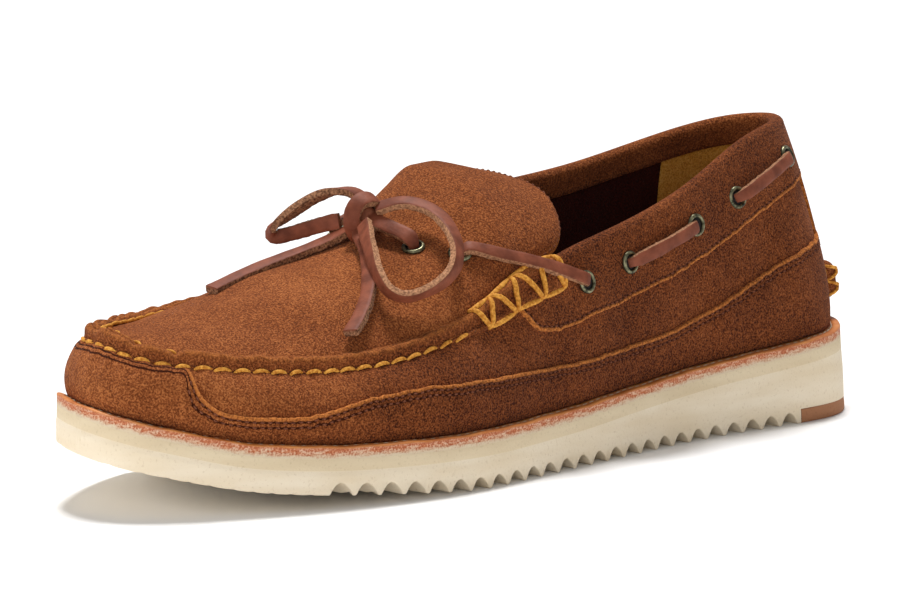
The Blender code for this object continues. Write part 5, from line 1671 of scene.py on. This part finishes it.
lay.build("welt_edge", [(inset, rim_height(below), wear) for inset, below, wear in WELT_PROFILE],
          edge_finish, "welt", "welt")
lay.build("thin_strip", [(inset, under_welt(below), 0.0) for inset, below in STRIP_PROFILE],
          strip_finish, "strip", "midsole")
lay.build("sock", [(inset, under_welt(below), 0.0) for inset, below in SOCK_PROFILE],
          sock_finish, "sock", "insole")
groove = lay.ring(GROOVE_IN, rim_height(GROOVE_DEEP))
groove = evenly(np.vstack([groove, groove[:1]]), spacing=WELT_PITCH)
start, end = groove[:-1], groove[:-1] * 0.14 + groove[1:] * 0.86
up = np.broadcast_to(UP, start.shape)
stitches("welt_stitches", arcs(start, end, up, rise=0.42, sink=0.1, steps=FINE_PLACES), up, 0.34, pale,
         sides=6, node="welt")

# %% [markdown]
# ## The rippled outsole
# The tread is a row of round-topped grooves, cut straight across, that leave sharp teeth between
# them. In front of the first real groove, the edge is only nicked. Behind the last, the crepe is cut
# square for the brown block.

# %% Tread
NICK_PITCH, NICK_DEEP = 5.2, 0.55


def tread(x, y):
    """Underside: the spring line, raised in each groove by (depth + 1) |sin|^0.8 less 1, and in front of
    the grooves by the top of a cosine, as small nicks."""
    low = spring(x, y)
    into = (y - FIRST_GROOVE_Y) / TOOTH_PITCH % 1 * TOOTH_PITCH
    share = (into - TOOTH_FLAT / 2) / (TOOTH_PITCH - TOOTH_FLAT)
    high = (TOOTH_DEPTH + 1.0) * np.abs(np.sin(np.pi * np.clip(share, 0, 1))) ** 0.8 - 1.0
    inside = (y > FIRST_GROOVE_Y) & (y < FIRST_GROOVE_Y + GROOVES * TOOTH_PITCH)
    nick = NICK_DEEP * np.clip(np.cos(2 * np.pi * (y - FIRST_GROOVE_Y) / NICK_PITCH) - 0.55, 0, 1)
    nick = nick * (y < FIRST_GROOVE_Y)
    return low + np.where(inside, np.clip(high, 0, None), nick)


def insert_room(x, y):
    """Underside of the crepe over the heel block: a slope from its front to its back, the same at any x."""
    share = (y - INSERT_FRONT_Y) / (150.0 - INSERT_FRONT_Y)
    return INSERT_FRONT_HIGH + share * (INSERT_BACK_HIGH - INSERT_FRONT_HIGH) + 0.15


IN_A_TOOTH = np.array([0.0, 0.03, 0.08, 0.16, 0.28, 0.4, 0.5, 0.6, 0.72, 0.84, 0.92, 0.97])
teeth = (FIRST_GROOVE_Y + TOOTH_PITCH * (np.arange(GROOVES)[:, None] + IN_A_TOOTH)).ravel()
back_y = FIRST_GROOVE_Y + GROOVES * TOOTH_PITCH
step_y = INSERT_FRONT_Y - GAP
fringe = rows_y(1.0, extra=teeth)
clear = np.isin(fringe, np.round(teeth, 3)) | (fringe < FIRST_GROOVE_Y)
clear |= (fringe > back_y) & (np.abs(fringe - step_y) > 0.1)
tread_rows = np.unique(np.concatenate([fringe[clear], [back_y, step_y, step_y + 0.02]]))
print("the tread has", len(tread_rows), "rows")

# %% Outsole and heel block
comb = Layer(tread_rows)
behind = comb.plan[:, 1] > step_y + 0.01
strip_low = WELT_THICK + STRIP_THICK + 2 * GAP


def bottom(raise_by):
    """The tread, or the room for the heel block behind it, moved up by raise_by."""
    return lambda x, y: np.where(behind, insert_room(x, y), tread(x, y)) + raise_by


def side_at(share):
    """A place on the side, this share of the way from the tread's base line up to the top."""
    return lambda x, y: (spring(x, y) + 4.6) * (1 - share) + (welt_top(x, y) - strip_low) * share


def flat_at(z):
    """A level height."""
    return lambda x, y: z + 0 * x


SHARP = math.radians(42)  # faces that meet at more than this stay crisp
comb.build("crepe_outsole", [
    (4.0, under_welt(strip_low - 0.28), 0.0), (0.11, under_welt(strip_low - 0.28), 0.0),
    (0.105, under_welt(strip_low - 0.2), 0.0), (0.08, under_welt(strip_low + 0.1), 0.0),
    (-0.12, side_at(0.66), 0.0), (-0.15, side_at(0.33), 0.0), (-0.05, side_at(0.0), 0.0),
    (0.0, bottom(0.35), 0.5), (0.18, bottom(0.08), 1.0), (0.5, bottom(0.0), 1.0), (6.0, bottom(0.0), 1.0),
], cream, "crepe", "outsole", sharp=SHARP)
heel = Layer(rows_y(ROW_STEP, start=INSERT_FRONT_Y))
heel.build("heel_block", [
    (4.0, insert_room, 0.0), (0.4, insert_room, 0.0), (0.1, lambda x, y: insert_room(x, y) - 0.25, 0.0),
    (-0.08, lambda x, y: 0.5 * insert_room(x, y), 0.0), (-0.05, flat_at(0.6), 0.0),
    (0.25, flat_at(0.1), 0.0), (0.8, flat_at(0.0), 0.0), (4.0, flat_at(0.0), 0.0),
], block, "insert", "heel_insert", sharp=SHARP)

# %% [markdown]
# ## Floor and light
# The shoe stands on a wide white floor under an even white sky. A broad sun from above and a little
# behind lights the leather from the top and lays a soft shadow in front of the sole. Two weak square
# lamps, one before the shoe and one at its toe, lift the side that the sun leaves dark.

# %% Floor, sky and lamps
world = bpy.data.worlds.new("studio")
world.use_nodes = True
world.node_tree.nodes["Background"].inputs[0].default_value = (1, 1, 1, 1)
world.node_tree.nodes["Background"].inputs[1].default_value = 0.33
bpy.context.scene.world = world
bpy.context.scene.view_settings.view_transform = "Standard"
white = Finish("floor_white", 0.9)
white.done((0.95, 0.95, 0.95, 1.0))
floor_mesh = bpy.data.meshes.new("floor")
floor_mesh.from_pydata([(-30, -30, 0), (30, -30, 0), (30, 30, 0), (-30, 30, 0)], [], [(0, 1, 2, 3)])
floor_mesh.materials.append(white.material)
floor = bpy.data.objects.new("floor", floor_mesh)
bpy.context.scene.collection.objects.link(floor)


def lamp(name, kind, power, way):
    """A light that shines from the direction way; where a square lamp stands is set afterwards."""
    thing = bpy.data.objects.new(name, bpy.data.lights.new(name, kind))
    thing.data.energy = power
    thing.rotation_mode = "QUATERNION"
    thing.rotation_quaternion = Vector(way).to_track_quat("Z", "Y")
    bpy.context.scene.collection.objects.link(thing)
    return thing


lamp("sky_light", "SUN", 3.1, (-0.25, 0.20, 1.0)).data.angle = math.radians(15)
SHOE_MIDDLE = Vector((0, 0, 0.04))
for name, place, size, power in (("front", (1.4, -1.2, 0.5), 0.9, 4), ("left", (-0.5, -1.7, 0.7), 0.7, 9)):
    square = lamp(name, "AREA", power, Vector(place) - SHOE_MIDDLE)
    square.location, square.data.size = place, size
print("lit by", len(bpy.data.lights), "lamps and the sky")
